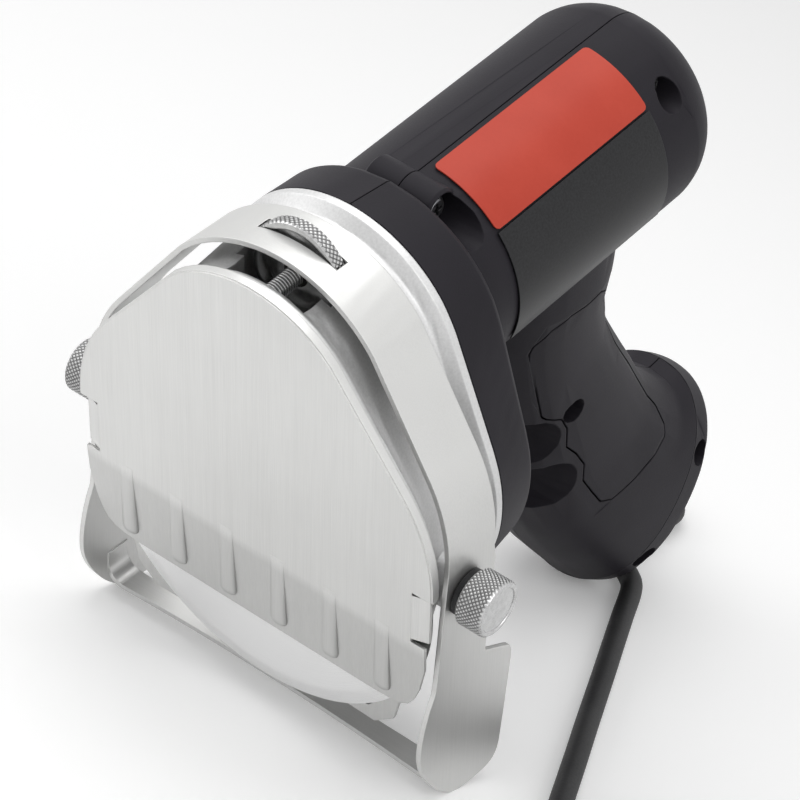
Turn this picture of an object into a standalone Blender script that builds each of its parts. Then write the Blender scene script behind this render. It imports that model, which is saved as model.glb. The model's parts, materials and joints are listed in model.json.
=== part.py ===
"""Hand-held electric meat slicer: round blade under a steel cover, tilting slice guard,
belt drive in a cast head, motor barrel and swept-back handle, standing on a table.

The slicer is modelled in its own head frame: the blade's centre is the zero point, X is
across the head, Y runs back along the motor and Z up along the head. One empty, slicer_rest,
leans that frame back so that the guard's two feet and the handle's end stand on the table.
"""
import math

import bmesh
import bpy

# Outer outline of the guard strap; the other outlines of the head follow it
head_top = 0.07609
head_top_radius = 0.03689
head_half_width = 0.05245
head_side_radius = 0.04109
head_side_height = 0.01568

# Fits and small distances that several pieces share
seat_gap = 0.0003
run_gap = 0.0006
overrun = 0.0040
round_steps = 24
small_steps = 12
inner_steps = 16
ring_steps = 48
arch_steps = 8

# Slice guard: one bent sheet, turning on the thumb screws
sheet = 0.0013
pivot_y = 0.00872
pivot_z = 0.00661
guard_rest_angle = math.radians(-4.29)
strap_front = 0.00724
strap_back = 0.00912
slot_half_length = 0.01024
slot_front = -0.00072
slot_back = 0.00315
foot_drop = 0.0686
foot_reach = 0.0216
bar_drop = 0.0613
bar_front = 0.0021
bar_bow = 0.0013
bar_back = 0.0047
bar_bend = 0.0045
guard_hole_radius = 0.0033

# Thumb screws and their dark spacers
knob_radius = 0.0071
knob_stand_off = 0.00205
knob_length = 0.00722
knob_inner = head_half_width + knob_stand_off
knob_outer = knob_inner + knob_length
knob_bevel = 0.0006
screw_shank_radius = 0.0025
screw_shank_end = 0.0440
spacer_radius = 0.0058

# Slice wheel and its threaded rod
wheel_radius = 0.0126
wheel_thickness = 0.0034
wheel_centre_y = 0.00121
wheel_centre_z = 0.06059
rod_radius = 0.0024
rod_front = -0.0012
rod_back = 0.0255
rod_thread = 0.0004
rod_pitch = 0.0008
rod_play = 0.0009

# Blade and its shaft
blade_radius = 0.0500
blade_thickness = 0.0010
blade_edge = 0.0002
blade_grind = 0.0045
arbor_radius = 0.0040
arbor_flange_radius = 0.0090
arbor_flange_back = 0.0037
arbor_back = 0.0300
clamp_head_radius = 0.0080
clamp_head_thickness = 0.0009
clamp_shank_radius = 0.0020
clamp_shank_length = 0.0080

# Front cover: sheet with a short lip and a bent-back strip with six pressed ribs
cover_front = -0.0030
cover_sheet = 0.0008
cover_lip_back = -0.0005
cover_top_inset = 0.0023
cover_side_inset = 0.0004
cover_top_turn = 0.0048
cover_side_turn = -0.0021
cover_side_drop = 0.0036
cover_fold_z = -0.0050
cover_fold_back = 0.0011
strip_height = 0.0239
strip_half_width = 0.0505
slit_upper_z = 0.0103
slit_lower_z = -0.0035
slit_depth = 0.0052
slit_height = 0.0010
tab_lean = 0.0014
tab_reach = 0.0042
rib_count = 6
rib_pitch = 0.0153
rib_width = 0.0047
rib_rise = 0.0012
rib_top_z = -0.0055
rib_length = 0.0200

# Cast head
casting_inset = 0.0014
casting_front = -0.0017
casting_back = 0.0308
casting_low_z = -0.0455
corner_x = 0.0355
corner_radius = 0.0050
rear_top = 0.0750
rear_top_radius = 0.0329
rear_low_z = 0.0095
rear_low_radius = 0.0453
recess_radius = 0.0510
recess_low_z = -0.0150
plate_front = 0.0011
plate_thickness = 0.0010
recess_back = plate_front + plate_thickness + seat_gap
chamber_back = 0.0240
chamber_radius = 0.0395
chamber_top_radius = 0.0092
window_half_width = 0.0109
window_front = 0.0023
window_floor = 0.0600
pocket_half_width = 0.0134
pocket_front = 0.0084
pocket_back = 0.0202
pocket_floor = 0.0537
pivot_boss_radius = 0.0060
pivot_hole_depth = 0.0120

# Belt drive: 52 and 15 teeth at 3 mm pitch
motor_z = 0.04194
big_pulley_radius = 0.0245
small_pulley_radius = 0.0068
pulley_front = 0.0040
pulley_back = 0.0120
pulley_rim = 0.0010
belt_front = 0.0052
belt_back = 0.0108
belt_thickness = 0.0013
bearing_radius = 0.0080
bearing_width = 0.0050
hub_boss_radius = 0.0125
hub_boss_front = 0.0150
motor_bearing_front_y = 0.0252
blade_bearing_rear_y = 0.0248

# Housing halves: collar, barrel and handle
barrel_radius = 0.02714
shell_wall = 0.0025
collar_back = 0.0437
collar_edge_y = 0.0462
collar_top = 0.0731
collar_top_radius = 0.0341
collar_low_z = 0.0080
collar_low_radius = 0.0433
barrel_full_end = 0.1275
barrel_end_length = 0.0140
barrel_end = barrel_full_end + barrel_end_length
bulkhead_thickness = 0.0110
bulkhead_reach = 0.0015
bulkhead_back = barrel_full_end + bulkhead_reach
bulkhead_front = bulkhead_back - bulkhead_thickness
rear_bearing_y = (bulkhead_front + bulkhead_back) / 2
cross_boss_y = 0.0513
cross_boss_z = 0.0646
cross_boss_radius = 0.0057
cross_boss_half = 0.0095
cross_boss_wall = 0.0009
lead_channel_radius = 0.0055

# Handle: front and rear points of each section, and its half width
handle_half_width = 0.0165
handle_end_y = 0.1503
handle_end_z = -0.0957
handle_end_angle = math.radians(50.3)
handle_end_half_depth = 0.0320
handle_end_half_width = 0.0222
cap_depth = 0.0100
cap_round = 0.0027
finger_radius = 0.0080
finger_slot = 0.0140
panel_start = 0.0100
panel_gap = 0.0005
end_hole_offset = -0.0150

# Screws of the housing and of the back plate
housing_head_radius = 0.0030
housing_head_height = 0.0022
housing_shank_radius = 0.0015
housing_hole_radius = 0.0036
plate_screw_head = 0.0022
plate_screw_shank = 0.0012
plate_screw_length = 0.0070

# Motor
motor_shaft_radius = 0.0025
motor_shaft_front = 0.0030
motor_shaft_tail = 0.0008
motor_shaft_back = bulkhead_back + motor_shaft_tail
stator_bore = 0.0130
stator_front = 0.0635
stator_back = 0.0920
coil_length = 0.0055
coil_inner_share = 0.588
coil_outer_share = 0.8725
coil_inner = (barrel_radius - shell_wall) * coil_inner_share
coil_outer = (barrel_radius - shell_wall) * coil_outer_share
rotor_radius = 0.0124
rotor_slots = 10
rotor_slot_depth = 0.0030
commutator_radius = 0.0090
commutator_front = 0.1000
commutator_back = 0.1120
fan_radius = 0.0205
fan_hub_radius = 0.0065
fan_front = 0.0340
fan_back = 0.0420
fan_plate = 0.0015
fan_blades = 7
brush_width = 0.0050
brush_height = 0.0070
brush_length = 0.0080
brush_wall = 0.0010

# Rocker switch in the barrel's rear end
switch_half_width = 0.0050
switch_half_height = 0.0070
switch_depth = 0.0110
switch_bezel = 0.0011
switch_bezel_thickness = 0.0012
switch_wall = 0.0010
rocker_sink = 0.0030
rocker_rise = 0.0016

# Label on the barrel: from its top seam round to the right
label_front = 0.0579
label_back = 0.1146
label_high = math.radians(86.3)
label_low = math.radians(42.9)
plate_low = math.radians(-22.0)
label_thickness = 0.0003

# Mains lead
cord_diameter = 0.0060
relief_length = 0.0340
relief_flange_radius = 0.0078
relief_flange = 0.0030
relief_root_radius = 0.0066
relief_tip_radius = 0.0045
relief_plug_radius = 0.0050
relief_plug_length = 0.0070
relief_rings = 4
relief_ring_depth = 0.0009


def clear_scene():
    """Remove every object that the file starts with."""
    for thing in list(bpy.data.objects):
        bpy.data.objects.remove(thing, do_unlink=True)


def finish_material(name, colour, roughness, metallic):
    """A Principled material with one colour, roughness and metallic value."""
    material = bpy.data.materials.new(name)
    material.use_nodes = True
    shader = material.node_tree.nodes["Principled BSDF"]
    shader.inputs["Base Color"].default_value = (*colour, 1.0)
    shader.inputs["Roughness"].default_value = roughness
    shader.inputs["Metallic"].default_value = metallic
    material.diffuse_color = (*colour, 1.0)
    return material


clear_scene()

steel_brushed = finish_material("brushed_steel", (0.72, 0.72, 0.71), 0.32, 1.0)
steel_bright = finish_material("bright_steel", (0.80, 0.80, 0.80), 0.18, 1.0)
steel_dark = finish_material("dark_steel", (0.28, 0.28, 0.29), 0.40, 1.0)
steel_laminated = finish_material("laminated_steel", (0.35, 0.35, 0.36), 0.50, 1.0)
alloy_cast = finish_material("cast_alloy", (0.66, 0.66, 0.66), 0.45, 1.0)
plastic_dark = finish_material("dark_plastic", (0.040, 0.037, 0.040), 0.48, 0.0)
plastic_black = finish_material("black_plastic", (0.015, 0.015, 0.016), 0.40, 0.0)
rubber_black = finish_material("black_rubber", (0.020, 0.020, 0.021), 0.70, 0.0)
label_red = finish_material("red_label", (0.55, 0.085, 0.060), 0.45, 0.0)
copper_wound = finish_material("wound_copper", (0.60, 0.25, 0.10), 0.35, 1.0)
carbon_block = finish_material("carbon", (0.03, 0.03, 0.03), 0.60, 0.0)
brass_bright = finish_material("brass", (0.75, 0.55, 0.22), 0.30, 1.0)


def empty(name, place, parent=None, turn_x=0.0):
    """An empty that carries pieces, on a joint's axis where they move."""
    carrier = bpy.data.objects.new(name, None)
    bpy.context.collection.objects.link(carrier)
    carrier.location = place
    carrier.rotation_euler = (turn_x, 0.0, 0.0)
    carrier.parent = parent
    return carrier


slicer_rest = empty("slicer_rest", (0.0, 0.0, 0.0))


def add_object(name, mesh, material, place=(0.0, 0.0, 0.0), parent=slicer_rest):
    """Put a mesh into the scene as a named piece."""
    piece = bpy.data.objects.new(name, mesh)
    bpy.context.collection.objects.link(piece)
    piece.location = place
    piece.parent = parent
    if material is not None:
        mesh.materials.append(material)
    mesh.shade_smooth()
    mesh.set_sharp_from_angle(angle=math.radians(35.0))
    return piece


def mesh_from(name, vertices, faces):
    """A mesh from points and faces, with its faces turned outwards."""
    mesh = bpy.data.meshes.new(name)
    mesh.from_pydata([tuple(point) for point in vertices], [], faces)
    work = bmesh.new()
    work.from_mesh(mesh)
    bmesh.ops.recalc_face_normals(work, faces=work.faces)
    work.to_mesh(mesh)
    work.free()
    return mesh


def loft(name, loops, material, place=(0.0, 0.0, 0.0), parent=slicer_rest, closed=False):
    """Skin equal loops of points; the ends are capped, or joined to each other if closed."""
    count = len(loops[0])
    vertices = [point for ring in loops for point in ring]
    faces = []
    spans = len(loops) if closed else len(loops) - 1
    for row in range(spans):
        below = row * count
        above = (row + 1) % len(loops) * count
        for column in range(count):
            following = (column + 1) % count
            faces.append((below + column, below + following, above + following, above + column))
    if not closed:
        faces.append(tuple(range(count)))
        faces.append(tuple(range(len(vertices) - count, len(vertices))))
    return add_object(name, mesh_from(name, vertices, faces), material, place, parent)


def turned(name, profile, material, place=(0.0, 0.0, 0.0), axis="Y", bore=False,
           parent=slicer_rest, steps=round_steps):
    """Turn a profile of (distance, radius) points about an axis through the origin."""
    loops = []
    for distance, radius in profile:
        ring = []
        for step in range(steps):
            angle = math.tau * step / steps
            across = radius * math.cos(angle)
            up = radius * math.sin(angle)
            if axis == "Y":
                ring.append((across, distance, up))
            elif axis == "X":
                ring.append((distance, across, up))
            else:
                ring.append((across, up, distance))
        loops.append(ring)
    return loft(name, loops, material, place, parent, closed=bore)


def prism(name, outline, low, high, material=None, axis="Y", place=(0.0, 0.0, 0.0),
          parent=slicer_rest):
    """Extrude an outline along Y, from (x, z) points, or along X, from (y, z) points."""
    loops = []
    for distance in (low, high):
        if axis == "Y":
            loops.append([(u, distance, v) for u, v in outline])
        else:
            loops.append([(distance, u, v) for u, v in outline])
    return loft(name, loops, material, place, parent)


def block(name, low, high, material=None, parent=slicer_rest, place=(0.0, 0.0, 0.0)):
    """A box between two corners."""
    outline = [(low[0], low[2]), (high[0], low[2]), (high[0], high[2]), (low[0], high[2])]
    return prism(name, outline, low[1], high[1], material, "Y", place, parent)


def combine(target, tool, operation="DIFFERENCE"):
    """Join, cut or intersect a piece with a hidden tool shape."""
    tool.hide_render = True
    tool.display_type = "WIRE"
    change = target.modifiers.new(operation.lower() + "_" + tool.name, "BOOLEAN")
    change.operation = operation
    change.solver = "EXACT"
    change.object = tool
    return target


def hull(circles, steps=48):
    """Outline round a set of circles, given as (x, z, radius), counter-clockwise."""
    points = []
    for x, z, radius in circles:
        for step in range(steps):
            angle = math.tau * step / steps
            points.append((x + radius * math.cos(angle), z + radius * math.sin(angle)))
    points.sort()

    def chain(ordered):
        kept = []
        for point in ordered:
            while len(kept) > 1:
                first, second = kept[-2], kept[-1]
                turn = ((second[0] - first[0]) * (point[1] - first[1])
                        - (second[1] - first[1]) * (point[0] - first[0]))
                if turn > 0.0:
                    break
                kept.pop()
            kept.append(point)
        return kept[:-1]

    return chain(points) + chain(points[::-1])


def polar_radii(outline, centre_z, steps):
    """Distance from (0, centre_z) to a convex outline, at equal steps of angle."""
    radii = []
    for step in range(steps):
        angle = math.tau * step / steps
        ux, uz = math.cos(angle), math.sin(angle)
        best = 0.0
        for index, (x0, z0) in enumerate(outline):
            x1, z1 = outline[(index + 1) % len(outline)]
            ex, ez = x1 - x0, z1 - z0
            across = ux * ez - uz * ex
            if abs(across) < 1e-12:
                continue
            along = (x0 * ez - (z0 - centre_z) * ex) / across
            share = (x0 * uz - (z0 - centre_z) * ux) / across
            if along > best and -1e-9 <= share <= 1.0 + 1e-9:
                best = along
        radii.append(best)
    return radii


def polar_ring(radii, y, centre_z, inset=0.0):
    """Ring of points at one Y from radii at equal steps of angle."""
    ring = []
    for step, radius in enumerate(radii):
        angle = math.tau * step / len(radii)
        ring.append(((radius - inset) * math.cos(angle), y,
                     centre_z + (radius - inset) * math.sin(angle)))
    return ring


def mixed(first, second, share):
    """Radii between two lists of radii."""
    return [a + (b - a) * share for a, b in zip(first, second)]


def arch_circles(top_inset=0.0, side_inset=0.0, top_turn=0.0, side_turn=0.0, side_drop=0.0):
    """Three circles whose outer tangents make the head's arch."""
    top_radius = head_top_radius - top_turn
    side_radius = head_side_radius - side_turn
    side_x = head_half_width - side_inset - side_radius
    side_z = head_side_height - side_drop
    return [(0.0, head_top - top_inset - top_radius, top_radius),
            (side_x, side_z, side_radius), (-side_x, side_z, side_radius)]


head_centre_z = head_side_height


# Cast head

def cover_circles():
    """Circles of the cover's arch."""
    return arch_circles(cover_top_inset, cover_side_inset, cover_top_turn, cover_side_turn,
                        cover_side_drop)


def casting_radii():
    """Radii of the casting's front outline, of its rear outline and of the collar's."""
    front_circles = cover_circles()
    low_z = casting_low_z + corner_radius
    front_circles.append((corner_x, low_z, corner_radius))
    front_circles.append((-corner_x, low_z, corner_radius))
    rear = [(0.0, rear_top - rear_top_radius, rear_top_radius),
            (0.0, rear_low_z, rear_low_radius)]
    collar = [(0.0, collar_top - collar_top_radius, collar_top_radius),
              (0.0, collar_low_z, collar_low_radius)]
    return [polar_radii(hull(circles, 96), head_centre_z, ring_steps)
            for circles in (front_circles, rear, collar)]


front_radii, rear_radii, collar_radii = casting_radii()

# Depth share, share of the rear outline, and inset share of the waist, from front to back
waist_depth = 0.0028
casting_shares = [
    (0.00, 0.00, 0.20), (0.02, 0.00, 0.00), (0.085, 0.00, 0.00), (0.13, 0.18, 0.50),
    (0.21, 0.42, 0.85), (0.42, 0.70, 0.95), (0.62, 0.88, 0.95),
    (0.78, 1.00, 1.00), (0.86, 1.00, 0.95), (0.90, 1.00, 0.50), (0.94, 1.00, 0.00), (1.00, 1.00, 0.00),
]


def plate_screw_places():
    """Four places on the back plate, between the chamber and the casting's edge."""
    low_x = corner_x - corner_radius
    low_z = casting_low_z + corner_radius * 1.6
    high_x = chamber_radius * 0.62
    high_z = motor_z * 0.85
    return [(low_x, low_z), (-low_x, low_z), (high_x, high_z), (-high_x, high_z)]


def make_casting():
    """Cast head: waisted shell with the belt chamber, the wheel's pocket and the bosses."""
    depth = casting_back - casting_front
    loops = []
    for depth_share, rear_share, waist_share in casting_shares:
        radii = mixed(front_radii, rear_radii, rear_share)
        inset = waist_depth * waist_share + casting_inset * (1.0 - rear_share)
        loops.append(polar_ring(radii, casting_front + depth * depth_share, head_centre_z, inset))
    casting = loft("head_casting", loops, alloy_cast)

    for side in (1.0, -1.0):
        boss_outer = head_half_width - sheet - seat_gap
        ends = sorted((side * boss_outer, side * (boss_outer - pivot_hole_depth)))
        boss = turned("pivot_boss_form", [(ends[0], pivot_boss_radius),
                                          (ends[1], pivot_boss_radius)], None,
                      (0.0, pivot_y, pivot_z), "X", steps=small_steps)
        combine(casting, boss, "UNION")
        ends = sorted((side * (boss_outer + overrun), side * (boss_outer - pivot_hole_depth
                                                              + seat_gap)))
        hole = turned("pivot_hole_cut", [(end, screw_shank_radius + seat_gap) for end in ends],
                      None, (0.0, pivot_y, pivot_z), "X", steps=small_steps)
        combine(casting, hole)

    turn = math.asin(recess_low_z / recess_radius)
    outline = []
    for step in range(ring_steps // 2 + 1):
        angle = turn + (math.pi - 2 * turn) * step / (ring_steps // 2)
        outline.append((recess_radius * math.cos(angle), recess_radius * math.sin(angle)))
    for side in (1.0, -1.0):
        ends = sorted((side * (head_half_width - slit_depth - cover_sheet * 2),
                       side * (head_half_width + overrun)))
        notch = block("tab_notch_cut", (ends[0], casting_front - overrun,
                                        slit_lower_z - slit_height),
                      (ends[1], cover_front + tab_lean + cover_sheet + seat_gap,
                       slit_upper_z + slit_height))
        combine(casting, notch)
    wide = head_half_width + overrun
    low_z = casting_low_z - overrun
    outline += [(-wide, recess_low_z), (-wide, low_z), (wide, low_z), (wide, recess_low_z)]
    recess = prism("blade_recess_cut", outline, casting_front - overrun, recess_back)
    combine(casting, recess)
    outline = hull([(0.0, 0.0, chamber_radius), (0.0, motor_z, chamber_top_radius)],
                   small_steps * 3)
    chamber = prism("chamber_cut", outline, casting_front - overrun, chamber_back)
    combine(casting, chamber)
    hub = turned("hub_boss_form", [(hub_boss_front, hub_boss_radius),
                                   (chamber_back + seat_gap, hub_boss_radius)], None)
    combine(casting, hub, "UNION")
    for height, front in ((0.0, hub_boss_front), (motor_z, chamber_back)):
        bore = turned("bearing_bore_cut", [(front - overrun, bearing_radius + seat_gap),
                                           (casting_back + overrun, bearing_radius + seat_gap)],
                      None, (0.0, 0.0, height))
        combine(casting, bore)
    pocket = block("wheel_pocket_cut", (-pocket_half_width, pocket_front, pocket_floor),
                   (pocket_half_width, pocket_back, head_top + overrun))
    combine(casting, pocket)
    window = block("window_cut", (-window_half_width, window_front, window_floor),
                   (window_half_width, pocket_front + run_gap, head_top + overrun))
    combine(casting, window)
    rod_hole = turned("rod_hole_cut", [(casting_front - overrun, rod_radius + seat_gap),
                                       (rod_back + seat_gap, rod_radius + seat_gap)], None,
                      (0.0, 0.0, rod_z), steps=small_steps)
    combine(casting, rod_hole)
    for x, z in plate_screw_places():
        hole = turned("plate_screw_cut", [(recess_back - overrun, plate_screw_shank + seat_gap),
                                          (recess_back + plate_screw_length + seat_gap,
                                           plate_screw_shank + seat_gap)],
                      None, (x, 0.0, z), steps=small_steps)
        combine(casting, hole)
    return casting


rod_z = pivot_z + wheel_centre_z * math.cos(guard_rest_angle) - seat_gap
make_casting()


def make_back_plate():
    """Thin plate that closes the belt chamber behind the blade."""
    circles = cover_circles()
    low_z = casting_low_z + corner_radius
    circles += [(corner_x, low_z, corner_radius), (-corner_x, low_z, corner_radius)]
    radii = polar_radii(hull(circles), 0.0, ring_steps)
    reach = recess_radius - run_gap
    outer = []
    for x, _, z in polar_ring(radii, 0.0, 0.0, casting_inset + run_gap):
        length = math.hypot(x, z)
        if z > recess_low_z and length > reach:
            x, z = x * reach / length, z * reach / length
        outer.append((x, z))
    hole = arbor_flange_radius + run_gap
    inner = [(x, z) for x, _, z in polar_ring([hole] * ring_steps, 0.0, 0.0)]
    back = plate_front + plate_thickness
    loops = [[(x, y, z) for x, z in ring] for ring, y in
             ((inner, plate_front), (outer, plate_front), (outer, back), (inner, back))]
    plate = loft("blade_back_plate", loops, steel_brushed, closed=True)
    for x, z in plate_screw_places():
        hole = turned("plate_hole_cut", [(plate_front - overrun, plate_screw_head + seat_gap),
                                         (plate_front + overrun, plate_screw_head + seat_gap)],
                      None, (x, 0.0, z), steps=small_steps)
        combine(plate, hole)
    return plate


make_back_plate()


# Blade and its drive: everything that turns about the blade's axis

blade_axis = empty("blade_axis", (0.0, 0.0, 0.0), slicer_rest)
motor_axis = empty("motor_axis", (0.0, 0.0, motor_z), slicer_rest)


def make_blade():
    """Round smooth-edged blade, ground to a thin edge from the front."""
    half = blade_thickness / 2
    bore = arbor_radius + seat_gap
    profile = [(-half, bore), (-half, blade_radius - blade_grind),
               (half - blade_edge, blade_radius), (half, blade_radius), (half, bore)]
    return turned("blade", profile, steel_bright, bore=True, parent=blade_axis, steps=48)


def make_arbor():
    """Blade shaft with its flange, nose and a threaded hole for the clamp screw."""
    half = blade_thickness / 2
    profile = [(-half + run_gap / 2, clamp_shank_radius + seat_gap),
               (-half + run_gap / 2, arbor_radius),
               (half + seat_gap, arbor_radius), (half + seat_gap, arbor_flange_radius),
               (arbor_flange_back, arbor_flange_radius), (arbor_flange_back, arbor_radius),
               (arbor_back, arbor_radius), (arbor_back, 0.0002),
               (clamp_shank_length + run_gap, 0.0002),
               (clamp_shank_length + run_gap, clamp_shank_radius + seat_gap)]
    return turned("blade_arbor", profile, steel_dark, bore=True, parent=blade_axis,
                  steps=small_steps)


def make_clamp_screw():
    """Flat-headed screw that clamps the blade to its shaft."""
    face = -blade_thickness / 2 - seat_gap
    profile = [(face - clamp_head_thickness, clamp_head_radius - clamp_head_thickness / 2),
               (face - clamp_head_thickness / 2, clamp_head_radius), (face, clamp_head_radius),
               (face, clamp_shank_radius), (face + clamp_shank_length, clamp_shank_radius)]
    screw = turned("blade_clamp_screw", profile, steel_bright, parent=blade_axis,
                   steps=inner_steps)
    slot_front = face - clamp_head_thickness
    for turn in range(2):
        reach = (clamp_head_radius * 0.45, clamp_head_thickness * 0.8)
        half = reach[turn], reach[1 - turn]
        slot = block("clamp_slot_cut", (-half[0], slot_front - overrun, -half[1]),
                     (half[0], slot_front + clamp_head_thickness / 2, half[1]),
                     parent=blade_axis)
        combine(screw, slot)
    return screw


def make_pulley(name, outer, bore, parent):
    """Toothed pulley drawn as a smooth drum with two thin rims."""
    rim = min(pulley_rim, belt_front - pulley_front - seat_gap)
    profile = [(pulley_front, bore + seat_gap), (pulley_front, outer + rim),
               (pulley_front + rim * 0.8, outer + rim), (pulley_front + rim * 0.8, outer),
               (pulley_back - rim * 0.8, outer), (pulley_back - rim * 0.8, outer + rim),
               (pulley_back, outer + rim), (pulley_back, bore + seat_gap)]
    return turned(name, profile, alloy_cast, bore=True, parent=parent,
                  steps=round_steps if outer > arbor_flange_radius else inner_steps)


def make_belt():
    """Closed belt round both pulleys."""
    inner = [(0.0, 0.0, big_pulley_radius + seat_gap),
             (0.0, motor_z, small_pulley_radius + run_gap)]
    inner_radii = polar_radii(hull(inner, 64), motor_z / 2, ring_steps)
    outer = [(x, z, radius + belt_thickness) for x, z, radius in inner]
    outer_radii = polar_radii(hull(outer, 64), motor_z / 2, ring_steps)
    loops = [polar_ring(inner_radii, belt_front, motor_z / 2),
             polar_ring(outer_radii, belt_front, motor_z / 2),
             polar_ring(outer_radii, belt_back, motor_z / 2),
             polar_ring(inner_radii, belt_back, motor_z / 2)]
    return loft("drive_belt", loops, rubber_black, closed=True)


def make_bearing(name, y, z, shaft):
    """Ball bearing drawn as one ring with a recessed face."""
    step = (bearing_radius - shaft) * 0.35
    dip = bearing_width * 0.06
    inner = shaft + seat_gap
    profile = [(y, inner), (y, inner + step), (y + dip, inner + step),
               (y + dip, bearing_radius - step), (y, bearing_radius - step),
               (y, bearing_radius), (y + bearing_width, bearing_radius),
               (y + bearing_width, inner)]
    return turned(name, profile, steel_bright, (0.0, 0.0, z), bore=True, steps=small_steps)


make_blade()
make_arbor()
make_clamp_screw()
make_pulley("blade_pulley", big_pulley_radius, arbor_radius, blade_axis)
make_pulley("motor_pulley", small_pulley_radius, motor_shaft_radius, motor_axis)
make_belt()
make_bearing("blade_bearing_front", hub_boss_front + seat_gap, 0.0, arbor_radius)
make_bearing("blade_bearing_rear", blade_bearing_rear_y, 0.0, arbor_radius)
make_bearing("motor_bearing_front", motor_bearing_front_y, motor_z, motor_shaft_radius)
make_bearing("motor_bearing_rear", rear_bearing_y, motor_z, motor_shaft_radius)


def make_plate_screws():
    """Four countersunk screws that hold the back plate to the casting."""
    face = recess_back - seat_gap
    for index, (x, z) in enumerate(plate_screw_places()):
        profile = [(plate_front, plate_screw_head), (face, plate_screw_head * 0.6),
                   (face, plate_screw_shank),
                   (recess_back + plate_screw_length, plate_screw_shank)]
        screw = turned("plate_screw_%d" % (index + 1), profile, steel_bright, (x, 0.0, z),
                       steps=small_steps)
        groove = block("plate_screw_slot_cut",
                       (-plate_screw_head * 0.15, plate_front - overrun,
                        -plate_screw_head * 0.7),
                       (plate_screw_head * 0.15, plate_front + plate_thickness * 0.4,
                        plate_screw_head * 0.7),
                       place=(x, 0.0, z))
        combine(screw, groove)


make_plate_screws()


# Motor

def make_motor():
    """Universal motor: laminated core, two coils, and the turning parts on the shaft."""
    shaft_profile = [(motor_shaft_front, motor_shaft_radius - run_gap / 2),
                     (motor_shaft_front + run_gap, motor_shaft_radius),
                     (motor_shaft_back - run_gap, motor_shaft_radius),
                     (motor_shaft_back, motor_shaft_radius - run_gap / 2)]
    turned("motor_shaft", shaft_profile, steel_dark, parent=motor_axis, steps=small_steps)

    stator_outer = barrel_radius - shell_wall - seat_gap
    profile = [(stator_front, stator_bore), (stator_front, stator_outer),
               (stator_back, stator_outer), (stator_back, stator_bore)]
    turned("stator_core", profile, steel_laminated, (0.0, 0.0, motor_z), bore=True)
    for name, near, far in (
            ("field_coil_front", stator_front - seat_gap - coil_length, stator_front - seat_gap),
            ("field_coil_rear", stator_back + seat_gap, stator_back + seat_gap + coil_length)):
        middle = (near + far) / 2
        mean = (coil_inner + coil_outer) / 2
        half = (coil_outer - coil_inner) / 2
        section = []
        for step in range(8):
            angle = math.tau * (step + 0.5) / 8
            section.append((middle + (far - near) / 2 * math.sin(angle) / math.cos(math.pi / 8),
                            mean + half * math.cos(angle) / math.cos(math.pi / 8)))
        turned(name, section, copper_wound, (0.0, 0.0, motor_z), bore=True, steps=small_steps)

    outline = []
    for slot in range(rotor_slots):
        for share, depth in ((0.00, 0.0), (0.42, 0.0), (0.58, 0.0), (0.70, rotor_slot_depth),
                             (0.88, rotor_slot_depth)):
            angle = math.tau * (slot + share) / rotor_slots
            outline.append(((rotor_radius - depth) * math.cos(angle),
                            (rotor_radius - depth) * math.sin(angle)))
    rotor = prism("rotor_core", outline, stator_front, stator_back, steel_laminated,
                  parent=motor_axis)
    bore_pieces = [(rotor, stator_front, stator_back)]
    commutator = turned("commutator", [(commutator_front, commutator_radius),
                                       (commutator_back, commutator_radius)], copper_wound,
                        parent=motor_axis)
    bore_pieces.append((commutator, commutator_front, commutator_back))
    fan_outline = []
    for blade in range(fan_blades):
        for share, radius in ((0.00, fan_hub_radius), (0.42, fan_hub_radius),
                              (0.45, fan_radius), (0.57, fan_radius), (0.60, fan_hub_radius)):
            angle = math.tau * (blade + share) / fan_blades
            fan_outline.append((radius * math.cos(angle), radius * math.sin(angle)))
    fan = prism("cooling_fan", fan_outline, fan_front, fan_back, plastic_black,
                parent=motor_axis)
    disc = turned("fan_disc_form", [(fan_back - fan_plate, fan_radius + run_gap),
                                    (fan_back + run_gap, fan_radius + run_gap)], None,
                  parent=motor_axis)
    combine(fan, disc, "UNION")
    bore_pieces.append((fan, fan_front, fan_back))
    for piece, near, far in bore_pieces:
        bore = turned("shaft_bore_cut", [(near - overrun, motor_shaft_radius + seat_gap),
                                         (far + overrun, motor_shaft_radius + seat_gap)],
                      None, parent=motor_axis, steps=small_steps)
        combine(piece, bore)


def make_brushes():
    """Two carbon brushes against the commutator, each in a brass holder set in the barrel."""
    middle = (commutator_front + commutator_back) / 2
    inner_wall = math.sqrt((barrel_radius - shell_wall) ** 2
                           - (brush_height / 2 + brush_wall) ** 2) - seat_gap
    for name, side in (("right", 1.0), ("left", -1.0)):
        start = commutator_radius + seat_gap
        reach = sorted((side * start, side * (start + brush_length)))
        block("carbon_brush_" + name, (reach[0], middle - brush_width / 2, -brush_height / 2),
              (reach[1], middle + brush_width / 2, brush_height / 2), carbon_block,
              place=(0.0, 0.0, motor_z))
        grip = start + brush_length * 0.25
        reach = sorted((side * grip, side * inner_wall))
        half_y = brush_width / 2 + seat_gap + brush_wall
        half_z = brush_height / 2 + seat_gap + brush_wall
        holder = block("brush_holder_" + name, (reach[0], middle - half_y, -half_z),
                       (reach[1], middle + half_y, half_z), brass_bright,
                       place=(0.0, 0.0, motor_z))
        reach = sorted((side * (grip - overrun), side * (start + brush_length + seat_gap)))
        pocket = block("brush_pocket_cut",
                       (reach[0], middle - half_y + brush_wall, -half_z + brush_wall),
                       (reach[1], middle + half_y - brush_wall, half_z - brush_wall),
                       place=(0.0, 0.0, motor_z))
        combine(holder, pocket)


make_motor()
make_brushes()


# Housing

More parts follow.
